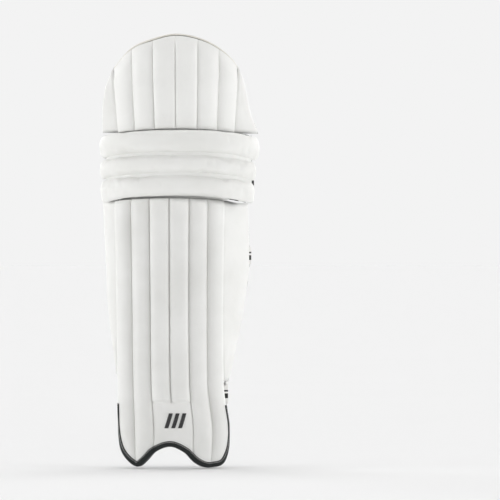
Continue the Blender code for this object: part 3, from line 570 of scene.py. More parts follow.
WHITE = white_leather("white_pu_leather", (0.81, 0.81, 0.792), (0.755, 0.755, 0.732))
# painted light: a lighter copy of the white leather for the top piece, standing in for the stronger light from
# above on the top
TOP_WHITE_PAINTED_LIGHT = white_leather("top_pu_leather_painted_light", (0.87, 0.87, 0.85), (0.83, 0.83, 0.81))
PIPING = white_leather("piping_leather", (0.80, 0.78, 0.73), (0.70, 0.68, 0.62))
ROLL_WHITE_PAINTED_LIGHT = roll_leather()
BLACK = black_lining("black_nylon_lining")
HOOKS = black_lining("hook_tape")
SATIN = grey_satin()
TAPE = charcoal_binding()
WEB = webbing()
LOOP = loop_webbing()
PLASTIC = white_plastic()
WHITE_THREAD = thread("white_thread", (0.78, 0.77, 0.75))
BLACK_THREAD = thread("black_thread", (0.02, 0.02, 0.02))
GREY_THREAD = thread("grey_thread", (0.075, 0.07, 0.075))
CANE = cane()
FOAM = foam("closed_cell_foam", (0.72, 0.69, 0.56), (0.62, 0.59, 0.47))
GREY_BOARD = foam("pressed_board", (0.26, 0.27, 0.29), (0.20, 0.21, 0.22))


# ------------------------------------------------------------------ mesh making

def build(name, points, faces, materials, body, slot, replaces=(), uvs=None, face_slots=None):
    mesh = bpy.data.meshes.new(name)
    mesh.from_pydata([tuple(p) for p in points], [], faces)
    work = bmesh.new()
    work.from_mesh(mesh)
    bmesh.ops.recalc_face_normals(work, faces=work.faces)
    work.to_mesh(mesh)
    work.free()
    mesh.polygons.foreach_set("use_smooth", [True] * len(mesh.polygons))
    mesh.set_sharp_from_angle(angle=math.radians(SHARP_ANGLE))
    for m in materials if isinstance(materials, (list, tuple)) else [materials]:
        mesh.materials.append(m)
    if face_slots:
        mesh.polygons.foreach_set("material_index", face_slots)
    if uvs:
        layer = mesh.uv_layers.new(name="UVMap")
        for loop in mesh.loops:
            layer.data[loop.index].uv = uvs[loop.vertex_index]
    piece = bpy.data.objects.new(name, mesh)
    bpy.context.scene.collection.objects.link(piece)
    if replaces:
        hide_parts(*replaces)
    if body:
        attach(piece, body)
    return piece


def grid_faces(rows, columns, offset=0, wrap_columns=False):
    faces = []
    for i in range(rows - 1):
        for j in range(columns if wrap_columns else columns - 1):
            k = (j + 1) % columns
            faces.append((offset + i * columns + j, offset + i * columns + k,
                          offset + (i + 1) * columns + k, offset + (i + 1) * columns + j))
    return faces


def plate(name, front, back, materials, body, slot, replaces=(), split=False):
    """Closed solid between two grids; with split its back and its border take the second material."""
    rows, columns = len(front), len(front[0])
    offset = rows * columns
    faces = grid_faces(rows, columns)
    front_faces = len(faces)
    faces += grid_faces(rows, columns, offset)
    border = list(range(columns)) + [i * columns + columns - 1 for i in range(1, rows)]
    border += [(rows - 1) * columns + j for j in range(columns - 2, -1, -1)]
    border += [i * columns for i in range(rows - 2, 0, -1)]
    faces += [(b, a, offset + a, offset + b) for a, b in zip(border, border[1:] + border[:1])]
    slots = [0] * front_faces + [1] * (len(faces) - front_faces) if split else None
    points = [row(p) for line in front + back for p in line]
    return build(name, points, faces, materials, body, slot, replaces, None, slots)


def skins(us, vs, at):
    """Near and far skin of a piece, as two grids of points: at(u, v) gives a point of each."""
    grid = [[at(u, v) for v in vs] for u in us]
    return [[[pair[k] for pair in line] for line in grid] for k in (0, 1)]


def shell(name, grid, thickness, material, body, slot, replaces=()):
    """Surface through a grid of points, given a thickness inwards."""
    rows, columns = len(grid), len(grid[0])
    points = [row(p) for line in grid for p in line]
    piece = build(name, points, grid_faces(rows, columns), material, body, slot, replaces)
    facing = sum((p.normal.y * p.area for p in piece.data.polygons))
    if facing > 0:
        piece.data.flip_normals()
    modifier = piece.modifiers.new("thickness", "SOLIDIFY")
    modifier.thickness = thickness / 1000
    modifier.offset = -1
    return piece


def applied(piece):
    """Mesh of an object with its modifiers applied."""
    graph = bpy.context.evaluated_depsgraph_get()
    return bpy.data.meshes.new_from_object(piece.evaluated_get(graph))


def swell(piece, cell, pressure, cap, base, reach=3.4, slack=0.02):
    """Cloth simulation of a stuffed piece, held where it lies near its base points."""
    scene = bpy.context.scene
    materials = list(piece.data.materials)
    work = bpy.data.objects.new(piece.name + "_cloth", piece.data.copy())
    scene.collection.objects.link(work)
    remesh = work.modifiers.new("remesh", "REMESH")
    remesh.mode = "VOXEL"
    remesh.voxel_size = cell / 1000
    mesh = applied(work)
    work.modifiers.clear()
    work.data = mesh
    tree = kdtree.KDTree(len(base))
    for i, p in enumerate(base):
        tree.insert(row(p), i)
    tree.balance()
    held = work.vertex_groups.new(name="held")
    start = []
    for v in mesh.vertices:
        near = tree.find(v.co)[2] * 1000 < reach
        if near:
            held.add([v.index], 1.0, "REPLACE")
        start.append((v.co.copy(), near))
    cloth = work.modifiers.new("cloth", "CLOTH")
    for fact, value in dict(
            quality=6, mass=0.25, tension_stiffness=18, compression_stiffness=18, shear_stiffness=8,
            bending_stiffness=0.6, vertex_group_mass="held", use_pressure=True, uniform_pressure_force=pressure,
            shrink_min=-slack, shrink_max=-slack).items():
        setattr(cloth.settings, fact, value)
    cloth.settings.effector_weights.gravity = 0
    cloth.collision_settings.use_collision = False
    cloth.collision_settings.use_self_collision = False
    cloth.point_cache.frame_start = 1
    cloth.point_cache.frame_end = CLOTH_FRAMES
    for frame_number in range(1, CLOTH_FRAMES + 1):
        scene.frame_set(frame_number)
    settled = applied(work)
    for v, (p, near) in zip(settled.vertices, start):
        step = v.co - p
        size = step.length * 1000
        v.co = p if near else p + step * (min(size, cap) / max(size, 1e-6))
    scene.frame_set(1)
    work.modifiers.clear()
    work.vertex_groups.clear()
    work.data = settled
    finer = work.modifiers.new("finer", "SUBSURF")
    finer.levels = finer.render_levels = 1
    done = applied(work)
    bpy.data.objects.remove(work)
    done.materials.clear()
    for m in materials:
        done.materials.append(m)
    done.polygons.foreach_set("use_smooth", [True] * len(done.polygons))
    done.polygons.foreach_set("material_index", [0] * len(done.polygons))
    piece.data = done


def dent(piece, depth_at):
    """Presses seams into a piece: depth_at(x, y, z) gives a step in mm and its direction."""
    for v in piece.data.vertices:
        x, y, z = (v.co.x * 1000 + BASE[0], v.co.y * 1000 + BASE[1], v.co.z * 1000 + BASE[2])
        step, direction = depth_at(x, y, z)
        if step:
            v.co += Vector(direction) * (step / 1000)


def tube(name, rings, material, body, slot, replaces=(), closed=False, uvs=None, capped=True,
         face_slots=None):
    count = len(rings[0])
    points = [row(p) for ring in rings for p in ring]
    faces = grid_faces(len(rings), count, 0, True)
    if closed:
        last = (len(rings) - 1) * count
        faces += [(last + j, last + (j + 1) % count, (j + 1) % count, j) for j in range(count)]
    elif capped:
        faces.append(tuple(range(count)))
        faces.append(tuple(reversed(range((len(rings) - 1) * count, len(rings) * count))))
    return build(name, points, faces, material, body, slot, replaces, uvs, face_slots)


def stitches(name, path, lift, body, material=None, pitch=3.4, length=2.3, radius=0.32,
             slot="white_piping"):
    """Row of thread stitches along a path of plan points; lift is the outward direction."""
    points = [row(p) for p in path]
    marks = [0.0]
    for a, b in zip(points, points[1:]):
        marks.append(marks[-1] + (b - a).length * 1000)
    up = Vector(lift).normalized()
    sides = ((1, 0), (0.5, 0.87), (-0.5, 0.87), (-1, 0), (-0.5, -0.87), (0.5, -0.87))
    verts = []
    faces = []
    place = pitch / 2
    i = 0
    while place + length < marks[-1]:
        while marks[i + 1] < place:
            i += 1
        run = (points[i + 1] - points[i]).normalized()
        spot = points[i] + run * (place - marks[i]) / 1000
        side = run.cross(up).normalized()
        start = len(verts)
        for k in range(5):
            arch = math.sin(math.pi * k / 4)
            thick = radius * (0.45 + 0.55 * arch) / 1000
            centre = spot + run * (length * (k / 4 - 0.5)) / 1000 + up * (0.25 * radius * arch) / 1000
            verts += [centre + side * (thick * c) + up * (thick * d) for c, d in sides]
        faces += grid_faces(5, 6, start, True)
        faces.append(tuple(range(start, start + 6)))
        faces.append(tuple(reversed(range(start + 24, start + 30))))
        place += pitch
    return build(name, verts, faces, material or WHITE_THREAD, body, slot)


# ------------------------------------------------------------------ white face of the shin

def ridge_columns(steps):
    found = []
    for k in range(RIDGES):
        found += [-1 + (k + t) * 2 / RIDGES for t in spread(steps)[:-1]]
    return found + [1.0]


def pucker(u, z, amount):
    """Small gathers beside each seam, and slow hollows in the padding."""
    t = ((u + 1) * RIDGES / 2) % 1.0
    beside = math.exp(-((min(t, 1 - t) / 0.16) ** 2))
    gather = wave(z / 4.5, u * 9, 3.0) * beside * 0.55
    slow = wave(z / 38, u * 3.0, 7.0) * (1 - beside) * 0.9
    return amount * (gather + slow)


def wrapped(grid, wall):
    """Adds columns that turn the skin round both sides of the pad."""
    def turned(side, column):
        lines = []
        for depth in (2.5, 5.0, 7.5, 10.0, 12.6):
            points = [(p, wall(side, p[2], depth)) for p in column]
            lines.append([(x, max(y, p[1]), z) for p, (x, y, z) in points])
        return lines

    return turned(-1, grid[0])[::-1] + grid + turned(1, grid[-1])


def make_shin_face():
    grid = []
    for u in ridge_columns(14):
        top = shin_top(u)
        low = lower_edge(u)
        line = [shin_point(u, top - 3.0, 11.6), shin_point(u, top - 1.0, 9.5), shin_point(u, top, 7.0)]
        line += [shin_point(u, top, 3.0)]
        heights = [top - 1.2 - 3.0 * k / 3 for k in range(3)]
        heights += [top - 5 + (112 - top + 5) * k / 78 for k in range(78)]
        heights += [112 + (98 - 112) * k / 10 for k in range(10)]
        heights += [98 + (low - 98) * k / 26 for k in range(27)]
        for z in heights:
            settle = ease((top + 0.5 - z) / 7)
            rise = shin_rise(u, z) * (0.55 + 0.45 * settle) + pucker(u, z, 0.45)
            line.append(shin_point(u, z, 0.25 - rise))
        grid.append(line)
    grid = wrapped(grid, shin_point)
    piece = shell("shin_face", grid, 1.2, WHITE, "shin", "white_synthetic_leather", ["shin_face_cover"])


def closed_flap(name, wall, edges, side, span, body, nodes, slope, rows, seed, lifts=(0.0, 0.0)):
    """Side piece: white padded face, black lining, and a rounded free edge."""
    low, high = span

    def at(v, q):
        z = low + (high - low) * v
        root = wall(side, z, 0)
        edge = along(z, edges)
        edge += side * 2.2 * ease(abs(edge - root[0]) / 10)
        length = max(abs(edge - root[0]), 1.0) / math.cos(slope)
        thick = flap_thickness(q)
        close = rounded(min(z - low, high - z), 5.0)
        tip = rounded((1 - q) * length, 4.5)
        soft = min(q * length / 3.0, 1) * close
        half = thick / 2 * tip * (0.08 + 0.92 * close)
        bulge = (2.6 * dome(q, 2.0) + 0.55 * wave(z / 30, q * 3, seed)) * soft
        ripple = 0.4 * wave(z / 16, q * 4, seed + 5) * soft
        middle = thick / 2 - (1 - tip) * thick * 0.34
        lift = v ** 24 * (lifts[0] + (lifts[1] - lifts[0]) * ease(q * 1.3))
        return [(x, y, z + lift) for x, y, z in (
            flap_point(root, edge, side, q, middle - half - bulge, slope),
            flap_point(root, edge, side, q, middle + half + ripple, slope))]

    piece = plate(name, *skins(even(rows), even(22), at), [WHITE, BLACK], body, "white_synthetic_leather",
                  nodes, split=True)


def make_side_pieces():
    for name, wall, edges, side, span, body, nodes, slope, rows, seed, lifts in (
            ("outer_wing", shin_point, WING_EDGE, 1, (136.5, 424.5), "outer_wing",
             ["wing_face_cover", "wing_foam", "wing_lining"], FLAP_SLOPE, 90, 1.0, (6.5, 2.0)),
            ("inner_edge", shin_point, INNER_EDGE, -1, (146, 424.5), "shin",
             ["shin_inner_edge"], FLAP_SLOPE, 90, 2.0, (7.0, 6.0)),
            ("top_outer_edge", top_point, TOP_WING_EDGE, 1, (539.5, 649), "top",
             ["top_outer_wing"], TOP_SLOPE, 44, 3.0, (0, 0)),
            ("top_inner_edge_piece", top_point, TOP_STRIP_EDGE, -1, (540.5, 646), "top",
             ["top_inner_edge"], TOP_SLOPE, 44, 4.0, (0, 0))):
        closed_flap(name, wall, edges, side, span, body, nodes, slope, rows, seed, lifts)
    for name, wall, edges, side, low, high, body, slope in (
            ("wing_edge_stitches", shin_point, WING_EDGE, 1, 180, 415, "outer_wing", FLAP_SLOPE),
            ("top_outer_stitches", top_point, TOP_WING_EDGE, 1, 552, 638, "top", TOP_SLOPE),
            ("top_inner_stitches", top_point, TOP_STRIP_EDGE, -1, 552, 634, "top", TOP_SLOPE),
            ("inner_edge_stitches", shin_point, INNER_EDGE, -1, 225, 414, "shin", FLAP_SLOPE)):
        path = []
        for z in [low + (high - low) * t for t in even(60)]:
            root = wall(side, z, 0)
            edge = along(z, edges)
            length = max(abs(edge - root[0]), 1.0) / math.cos(slope)
            q = max(1 - STITCH_INSET / length, 0.3)
            path.append(flap_point(root, edge, side, q, flap_thickness(q) + 0.75, slope))
        stitches(name, path, (-side * math.sin(slope), math.cos(slope), 0), body, length=2.4, radius=0.42)


# ------------------------------------------------------------------ knee rolls

def roll_point(t, a, middle_z, half_height, centre_x, reach, seed, lip):
    end = min(max((abs(t) - 0.915) / 0.085, 0), 1)
    tip = (1 - (0.985 * end) ** 2) ** 0.5
    depth = ROLL_DEPTH * (1 - ROLL_TAPER * abs(t) ** ROLL_TAPER_POWER) * (0.3 + 0.7 * tip)
    height = half_height * (1 - 0.02 * abs(t) ** 3) * (0.12 + 0.88 * tip)
    c = math.cos(a)
    s = math.copysign(abs(math.sin(a)) ** 0.88, math.sin(a))
    gathers = 1.1 * ease((abs(t) - 0.7) / 0.25) * math.sin(a * 7 + 5 * wave(t * 6, seed))
    slow = 0.6 * wave(t * 5, a * 1.1, seed) + 0.35 * wave(t * 15, a * 2.3, seed + 3)
    half = max(depth / 2 - 0.4 + gathers * 0.5 + slow, 0.3)
    radius = KNEE_BACK_R + depth / 2 + half * c
    x = centre_x + radius * math.sin(t * reach)
    y = KNEE_CENTRE_Y - radius * math.cos(t * reach)
    z = middle_z - knee_drop(t) + max(height + gathers * 0.25, 0.25) * s
    over = ease((c - 0.05) / 0.5) * ease(abs(s) * 1.4) * (1 if s * lip > 0 else 0)
    return x, y, z + lip * over * (0.55 + 0.75 * t * t)


def make_rolls():
    rolls = (("upper", 525.0, 20.0, -123.3, 136.6, 2.4), ("middle", 488.9, 17.2, -123.0, 131.8, 0.0),
             ("lower", 454.4, 18.1, -122.0, 128.8, -3.6))
    for n, (label, middle_z, half_height, left, right, lip) in enumerate(rolls):
        centre_x = (left + right) / 2
        reach = math.asin((right - left) / 2 / 175.5)
        steps = [-0.998, -0.994] + both_sides(130)[1:-1] + [0.994, 0.998]
        rings = [[roll_point(t, a, middle_z, half_height, centre_x, reach, n * 11.0, lip) for a in turns(44)]
                 for t in steps]
        far = max(p[0] for ring in rings for p in ring) - centre_x
        stretch = (right - centre_x) / far
        rings = [[(centre_x + (x - centre_x) * stretch, y, z) for x, y, z in ring] for ring in rings]
        name = "knee_roll_%s" % label
        piece = tube(name, rings, ROLL_WHITE_PAINTED_LIGHT, "knee", "white_synthetic_leather",
                     [name + "_cover", name + "_foam"])
        base = [p for ring in rings for p in ring[18:27]]
        swell(piece, 4.5, 3.0, 1.6, base, 3.0, 0.025)


def make_roll_seams():
    """White sewn channels at the bottom of the grooves between the rolls."""
    for label, z in (("upper", 505.6), ("lower", 471.9)):
        rings = []
        for t in [0.93 * u for u in both_sides(110)]:
            depth = ROLL_DEPTH * (1 - ROLL_TAPER * abs(t) ** ROLL_TAPER_POWER)
            radius = KNEE_BACK_R + 0.75 * depth + 0.25 * wave(t * 16, z)
            rings.append([knee_point(radius + 1.6 * math.cos(a), t * math.radians(45.5),
                                     z - knee_drop(t) + 4.6 * math.sin(a)) for a in turns(12)])
        tube("knee_roll_channel_%s" % label, rings, WHITE, "knee", "white_synthetic_leather")


# ------------------------------------------------------------------ top section

def make_top_face():
    grid = []
    for u in ridge_columns(14):
        low = top_bottom(u)
        high = top_outline(u)
        line = [top_point(u, high - 0.2, 8.0), top_point(u, high, 3.5)]
        heights = [high - 0.6, high - 2, high - 4, high - 7]
        heights += [high - 10 + (low + 5 - high + 10) * k / 42 for k in range(43)]
        heights += [low + 3.0, low + 1.2]
        for z in heights:
            settle = ease((z - low + 0.5) / 7)
            rise = top_rise(u, z) * (0.55 + 0.45 * settle) + pucker(u, z, 0.4) * ease((high - z) / 10)
            line.append(top_point(u, z, 0.25 - rise))
        line += [top_point(u, low, 3.0), top_point(u, low, 7.0), top_point(u, low + 1.0, 9.5),
                 top_point(u, low + 3.0, 11.6)]
        grid.append(line)
    grid = wrapped(grid, top_point)
    piece = shell("top_face", grid, 1.2, TOP_WHITE_PAINTED_LIGHT, "top", "white_synthetic_leather", ["top_face_cover"])


def make_top_piping():
    """White piping round the top, and the black lining turned over behind it."""
    for name, material, slot, nodes, depth, lift, size, deep in (
            ("top_edge_piping", PIPING, "white_piping", ["top_piping"], 2.6, 1.9, 1.5, 1.2),
            ("top_edge_turnover", BLACK, "black_lining", [], 8.0, 1.6, 1.75, 2.2)):
        rings = []
        for k, u in enumerate([0.999 * t for t in both_sides(120)]):
            here, low, high = (Vector(top_point(v, top_outline(v) + lift, depth))
                               for v in (u, u - 0.006, u + 0.006))
            run = (high - low).normalized()
            side = Vector((-math.sin(u * ARC), math.cos(u * ARC), 0))
            across = side.cross(run).normalized()
            radius = size + 0.12 * wave(k / 3.0, 0.5)
            rings.append([here + side * radius * deep * math.cos(a) + across * radius * math.sin(a)
                          for a in turns(14)])
        tube(name, rings, material, "top", slot, nodes)


def make_top_lining():
    def at(u, t):
        low, high = top_bottom(u) + 1, top_outline(u) + 1.2
        z = low + (high - low) * t
        edge = min(high - z, (1 - abs(u)) * 100, z - low)
        puff = 2.2 + 7.2 * ease(edge / 20) - 1.4 * math.exp(-((edge - 7) / 1.6) ** 2)
        channel = min(abs(u + 0.02 - c) for c in (0.8, 0.225)) * 100
        puff -= 1.5 * math.exp(-(channel / 2.0) ** 2) * ease(edge / 14)
        puff += 0.8 * wave(u * 6, z / 26, 2.0) * ease(edge / 12)
        far = PADDING_FRONT + max(puff, 0.6) - (1.8 if edge < 0.4 else 0)
        return top_point(u, z, 8.5 if edge < 2.4 else 15.3), top_point(u, z, far)

    piece = plate("top_lining_pad", *skins(both_sides(70), spread(50), at), top_lining_print(), "top",
                  "black_lining", ["top_lining"])
    path = []
    for u in [0.935 * t for t in both_sides(140)]:
        drop = 5.6 + 25 * max(abs(u) - 0.85, 0)
        path.append(top_point(u, top_outline(u) - drop, PADDING_FRONT + 4.2))
    stitches("top_lining_stitches", path, (0, 1, 0), "top", length=2.4, radius=0.4)


# ------------------------------------------------------------------ leg side of the knee and shin

def crease(x, y, z):
    """Sideways seam of the inner knee cushion, with the wrinkles it draws."""
    line = z - 497 + 0.05 * (x + 60) + 1.5 * wave(x / 12, 2.0)
    away = math.hypot(x - KNEE_CENTRE_X, y - KNEE_CENTRE_Y)
    if away > 150:
        return 0.0, (0, 0, 0)
    step = 2.8 * math.exp(-(line / 2.6) ** 2) + 0.8 * math.exp(-((line - 9 - x * 0.06) / 2.2) ** 2)
    return step, ((x - KNEE_CENTRE_X) / away, (y - KNEE_CENTRE_Y) / away, 0)


def make_knee_cushions():
    limit, inner_a, outer_a = (math.radians(a) for a in (49, -13.8, 20.8))
    seam_gap = 0.004
    for label, low_a, high_a, material, seed in (
            ("inner", -limit, inner_a - seam_gap, BLACK, 0.0),
            ("centre", inner_a, outer_a - seam_gap, knee_print(), 4.0),
            ("outer", outer_a, limit, BLACK, 8.0)):
        def at(t, v):
            a = low_a + (high_a - low_a) * t
            share = (a / limit) ** 2
            low = 436 - (CUSHION_DROP_OUTER - 2 if a > 0 else CUSHION_DROP_INNER) * share
            high = 541 - CUSHION_DROP_TOP * share
            z = low + (high - low) * v
            end = min(z - low, high - z)
            puff = (4 + 13 * dome(t, 3)) * (0.35 + 0.65 * rounded(end, 16))
            ripple = 0.8 * wave(z / 10, t * 1.4, seed) + 0.6 * wave(z / 26, t * 3, seed + 2)
            puff += ripple * dome(t, 3) * rounded(end, 12)
            return knee_point(CUSHION_R, a, z), knee_point(CUSHION_R - max(puff, 1.2), a, z)

        front, back = skins(even(40), spread(52), at)
        piece = plate("knee_cushion_" + label, front, back, material, "knee", "black_lining",
                      ["knee_%s_cushion" % label])
        swell(piece, 4.0, 4.0, 4.0, [p for line in front for p in line], 3.0, 0.04)
        if label == "inner":
            dent(piece, crease)
    for n, (angle, size) in enumerate(((inner_a - 0.035, 11.5), (0.06 - limit, 9.5), (outer_a + 0.035, 11.5))):
        low = 446 - knee_drop(angle / limit)
        path = [knee_point(CUSHION_R - size - 2.2, angle, low + 84 * t) for t in even(40)]
        stitches("knee_cushion_stitches_%d" % n, path, (-math.sin(angle), math.cos(angle), 0), "knee")


def bolster_rise(t, z, low, high, seed):
    plump = rounded(min(z - low, high - z), 15)
    ripple = 0.9 * wave(z / 24, t * 2, seed) + 0.5 * wave(z / 9, t * 1.5, seed + 2)
    return 5.0 + 17.0 * dome(t, 3.2) * (0.25 + 0.75 * plump) + ripple * dome(t, 4)


def make_shin_bolsters():
    low = BACK_BOTTOM + 0.5

    def finish(name, us, at, material, slot, node):
        front, back = skins(us, even(90), at)
        piece = plate(name, front, back, material, "shin", slot, [node])
        swell(piece, 4.5, 4.0, 2.0, [p for line in front for p in line], 3.0, 0.03)

    for name, low_u, high_u, flat_y, material, slot in (
            ("inner", -0.985, -0.41, 1000.0, inner_stripes(), "striped_lining"),
            ("centre", -0.40, 0.50, 35.6, centre_print(), "black_lining")):
        def at(t, v):
            u = low_u + (high_u - low_u) * t
            high = BACK_TOP - BACK_TOP_DROP * u * u
            z = low + (high - low) * v
            x, y, z = shin_point(u, z, PADDING_FRONT + bolster_rise(t, z, low, high, low_u * 10) + 0.4)
            return shin_point(u, z, PADDING_FRONT), (x, y if y < flat_y else flat_y + (y - flat_y) * 0.3, z)

        finish(name + "_shin_bolster", spread(36), at, material, slot, "shin_%s_bolster" % name)

    def outer(t, v):
        s = t * 2.0
        u = 0.515 + 0.46 * min(s, 1.25) / 1.25
        high = BACK_TOP - BACK_TOP_DROP * u * u - max(s - 1.25, 0) * 6
        z = low + (high - low) * v
        rise = bolster_rise(t, z, low, high, 5.0)
        if s <= 1.25:
            return shin_point(u, z, PADDING_FRONT), shin_point(u, z, PADDING_FRONT + rise)
        root = shin_point(1, z, 0)
        edge = along(z, WING_EDGE)
        length = abs(edge - root[0]) / math.cos(FLAP_SLOPE)
        reach = min(30.0, length * 0.6)
        q = (s - 1.25) / 0.75 * reach / max(length, 1)
        skin = flap_thickness(q) + 1.0 + 2.2 * (1 - ease((length - 20) / 40))
        return (flap_point(root, edge, 1, q, skin),
                flap_point(root, edge, 1, q, skin + rise * (0.45 + 0.55 * ease(reach / 25))))

    finish("outer_shin_bolster", spread(40), outer, outer_stripes(), "striped_lining", "shin_outer_bolster")


def make_back_lining():
    """Black cloth over the back of the boards, behind the bolsters, and on both side walls."""
    def at(u, v):
        high = shin_top(u) - 1.0
        low = 122.5 + 5 * u
        z = low + (high - low) * v
        rim = min((1 - abs(u)) * 90, z - low, high - z) < 2.5
        return shin_point(u, z, 11.5 if rim else 15.25), shin_point(u, z, 15.55)

    plate("shin_back_lining", *skins(both_sides(60), even(60), at), BLACK, "shin", "black_lining")
    for side, name in ((-1, "inner"), (1, "outer")):
        def wall(t, v):
            return [shin_point(side * u, 99 + 101 * v, 4.5 + 9.5 * t) for u in (1.003, 1.011)]

        plate("shin_side_lining_" + name, *skins(even(6), even(40), wall), BLACK, "shin", "black_lining")


def make_instep():
    seams = (-0.62, -0.30, 0.45, 0.74)

    def at(t, v):
        u = 0.985 * t
        low = lower_edge(u) + 1.5
        z = low + (125.5 + 5 * u - low) * v
        gap = min(abs(u - c) for c in seams) * 100
        quilt = 3.4 * (1 - math.exp(-(gap / 5.5) ** 1.4))
        quilt += 0.9 * math.exp(-(gap / 7.0) ** 2) * wave(u * 6, z / 4.5, 8.0)
        quilt += 0.6 * wave(u * 14, z / 9, 4.0) + 0.6 * wave(u * 5, z / 30, 6.0)
        quilt *= ease((z - low - 6.5) / 8) * ease(((1 - abs(u)) * 88 - 7) / 7)
        skin = rim_depth(u, z)
        return shin_point(u, z, skin + 1.0), shin_point(u, z, skin + 2.6 + quilt)

    piece = plate("instep_lining_quilt", *skins(both_sides(90), even(40), at), SATIN, "shin", "grey_satin",
                  ["instep_lining"])
    for n, u in enumerate(seams):
        low = lower_edge(u) + 10
        path = [low + (124 - low) * t for t in even(40)]
        path = [shin_point(u, z, rim_depth(u, z) + 3.3 + 0.5 * wave(u * 14, z / 9, 4.0)) for z in path]
        stitches("instep_seam_%d" % (n + 1), path, (-math.sin(u * ARC), math.cos(u * ARC), 0), "shin",
                 GREY_THREAD, 3.0, 2.85, 0.6, "grey_satin")


def rim_path():
    path = [(-1.0, z) for z in (101, 95, 88, 81, 74, 67)]
    path += [(-1 + 2 * t, lower_edge(-1 + 2 * t)) for t in even(110)]
    return path + [(1.0, z) for z in (51, 58, 66, 74, 82, 90, 98)]


# section of the tape as (distance from the rim, lift off the face) and the same for the rear
BINDING_OUTSIDE = (((6.4, 0.35), (5.9, 1.4), (4, 1.8), (1.2, 1.8), (-1.4, 1.5), (-2.6, 0.2), (-2.9, -2.5)),
                   ((-2.6, -0.6), (-1.4, 1.3), (4, 1.9), (7.6, 1.7), (8.2, 0.8)))
BINDING_INSIDE = (((6.2, -0.3), (5.7, 0.3), (4, 0.4), (1.2, 0.4), (0.2, 0.3), (-0.6, -0.6), (-0.8, -2.5)),
                  ((-0.6, -1.6), (0.2, 0.1), (4, 0.5), (7.4, 0.5), (8.0, 0.2)))


def make_binding():
    radius = 87.5 / math.sin(ARC)
    flat = [(u * ARC * radius, z) for u, z in rim_path()]
    outside, inside = [], []
    seam, rear_seam = [], []
    for i, (s, z) in enumerate(flat):
        before = flat[max(i - 2, 0)]
        after = flat[min(i + 2, len(flat) - 1)]
        run = (after[0] - before[0], after[1] - before[1])
        size = math.hypot(*run)

        def at(offset, lift, rear=False):
            u = (s - run[1] / size * offset) / (ARC * radius)
            zz = z + run[0] / size * offset
            within = min(max(u, -1), 1)
            floor = max(zz, lower_edge(within))
            depth = rim_depth(within, floor) + 3.6 + lift if rear else -shin_rise(within, floor) - lift
            return shin_point(u, zz, depth)

        wobble = 0.35 * wave(i / 2.2, 1.0)
        for skin, (face, rear) in ((outside, BINDING_OUTSIDE), (inside, BINDING_INSIDE)):
            line = [at(face[0][0] + wobble, face[0][1])] + [at(*place) for place in face[1:]]
            skin.append(line + [at(offset, lift, True) for offset, lift in rear])
        seam.append(at(4.6, 1.95))
        rear_seam.append(tuple(0.45 * p + 0.55 * q for p, q in zip(at(4, 3.1, True), at(7.6, 2.9, True))))
    plate("instep_binding_tape", outside, inside, TAPE, "shin", "charcoal_binding", ["instep_binding"])
    stitches("binding_stitches", seam, (0, -1, 0), "shin", pitch=3.2, length=2.2, radius=0.36)
    stitches("binding_rear_stitches", rear_seam, (0, 1, 0), "shin", pitch=3.4, length=2.5, radius=0.5)


def make_patch_mark():
    """Plain slanted bars stitched on the instep patch."""
    first, step, width, slant, low, height = -18.0, 9.0, 5.2, 7.5, 62, 24
    verts = []
    faces = []
    for k in range(3):
        for t in even(6):
            z = low + height * t
            for edge in (0, width):
                u = (first + k * step + edge + slant * t + 6.0) / 87.0 * 1.07
                verts.append(row(shin_point(u, z, -shin_rise(u, z) - 0.55)))
        faces += grid_faces(7, 2, k * 14)
    piece = build("instep_patch_bars", verts, faces, BLACK_THREAD, "shin", "black_lining")
    modifier = piece.modifiers.new("thickness", "SOLIDIFY")
    modifier.thickness = 0.0006
    modifier.offset = 0


# ------------------------------------------------------------------ straps

def smooth_path(points, per_span):
    found = []
    last = len(points) - 1
    for i in range(last):
        p0, p1, p2, p3 = points[max(i - 1, 0)], points[i], points[i + 1], points[min(i + 2, last)]
        for k in range(per_span):
            t = k / per_span
            found.append(tuple(0.5 * (2 * b + (c - a) * t + (2 * a - 5 * b + 4 * c - d) * t * t
                                      + (3 * b - a - 3 * c + d) * t ** 3)
                               for a, b, c, d in zip(p0, p1, p2, p3)))
    return found + [points[last]]


def headings(path):
    found = []
    for i in range(len(path)):
        a = path[max(i - 1, 0)]
        b = path[min(i + 1, len(path) - 1)]
        size = math.hypot(b[0] - a[0], b[1] - a[1])
        found.append(((b[0] - a[0]) / size, (b[1] - a[1]) / size))
    return found


def offset_path(path, distance):
    return [moved(p, ((h[1], -h[0]), distance)) for p, h in zip(path, headings(path))]


SELVEDGE = ((0.985, 0.62), (0.93, 0.95), (0.72, 1.0), (0.35, 1.0), (0.0, 1.0))


def ribbon(name, path, thickness, height_at, width, material, body, slot, replaces=(), seed=0.0, sag=0.5):
    """Woven strap along a plan path, with rounded selvedges; U is metres along it, V is across it."""
    upper = [(-a, d) for a, d in SELVEDGE] + list(reversed(SELVEDGE[:-1]))
    profile = [(-1.0, 0.0)] + upper + [(1.0, 0.0)] + [(a, -d) for a, d in reversed(upper)]
    rings = []
    uvs = []
    run = 0.0
    for i, (p, h) in enumerate(zip(path, headings(path))):
        if i:
            run += math.hypot(p[0] - path[i - 1][0], p[1] - path[i - 1][1])
        z = height_at(p[0]) + 0.35 * wave(run / 60, seed)
        ring = []
        for across, depth in profile:
            bow = sag * (1 - across * across) * wave(run / 45, seed + 4)
            out = depth * thickness / 2 + bow * 0.4
            ring.append(moved(p, ((h[1], -h[0]), out)) + (z + across * width / 2,))
            uvs.append((run / 1000, (across + 1) / 2))
        rings.append(ring)
    return tube(name, rings, material, body, slot, replaces, uvs=uvs)


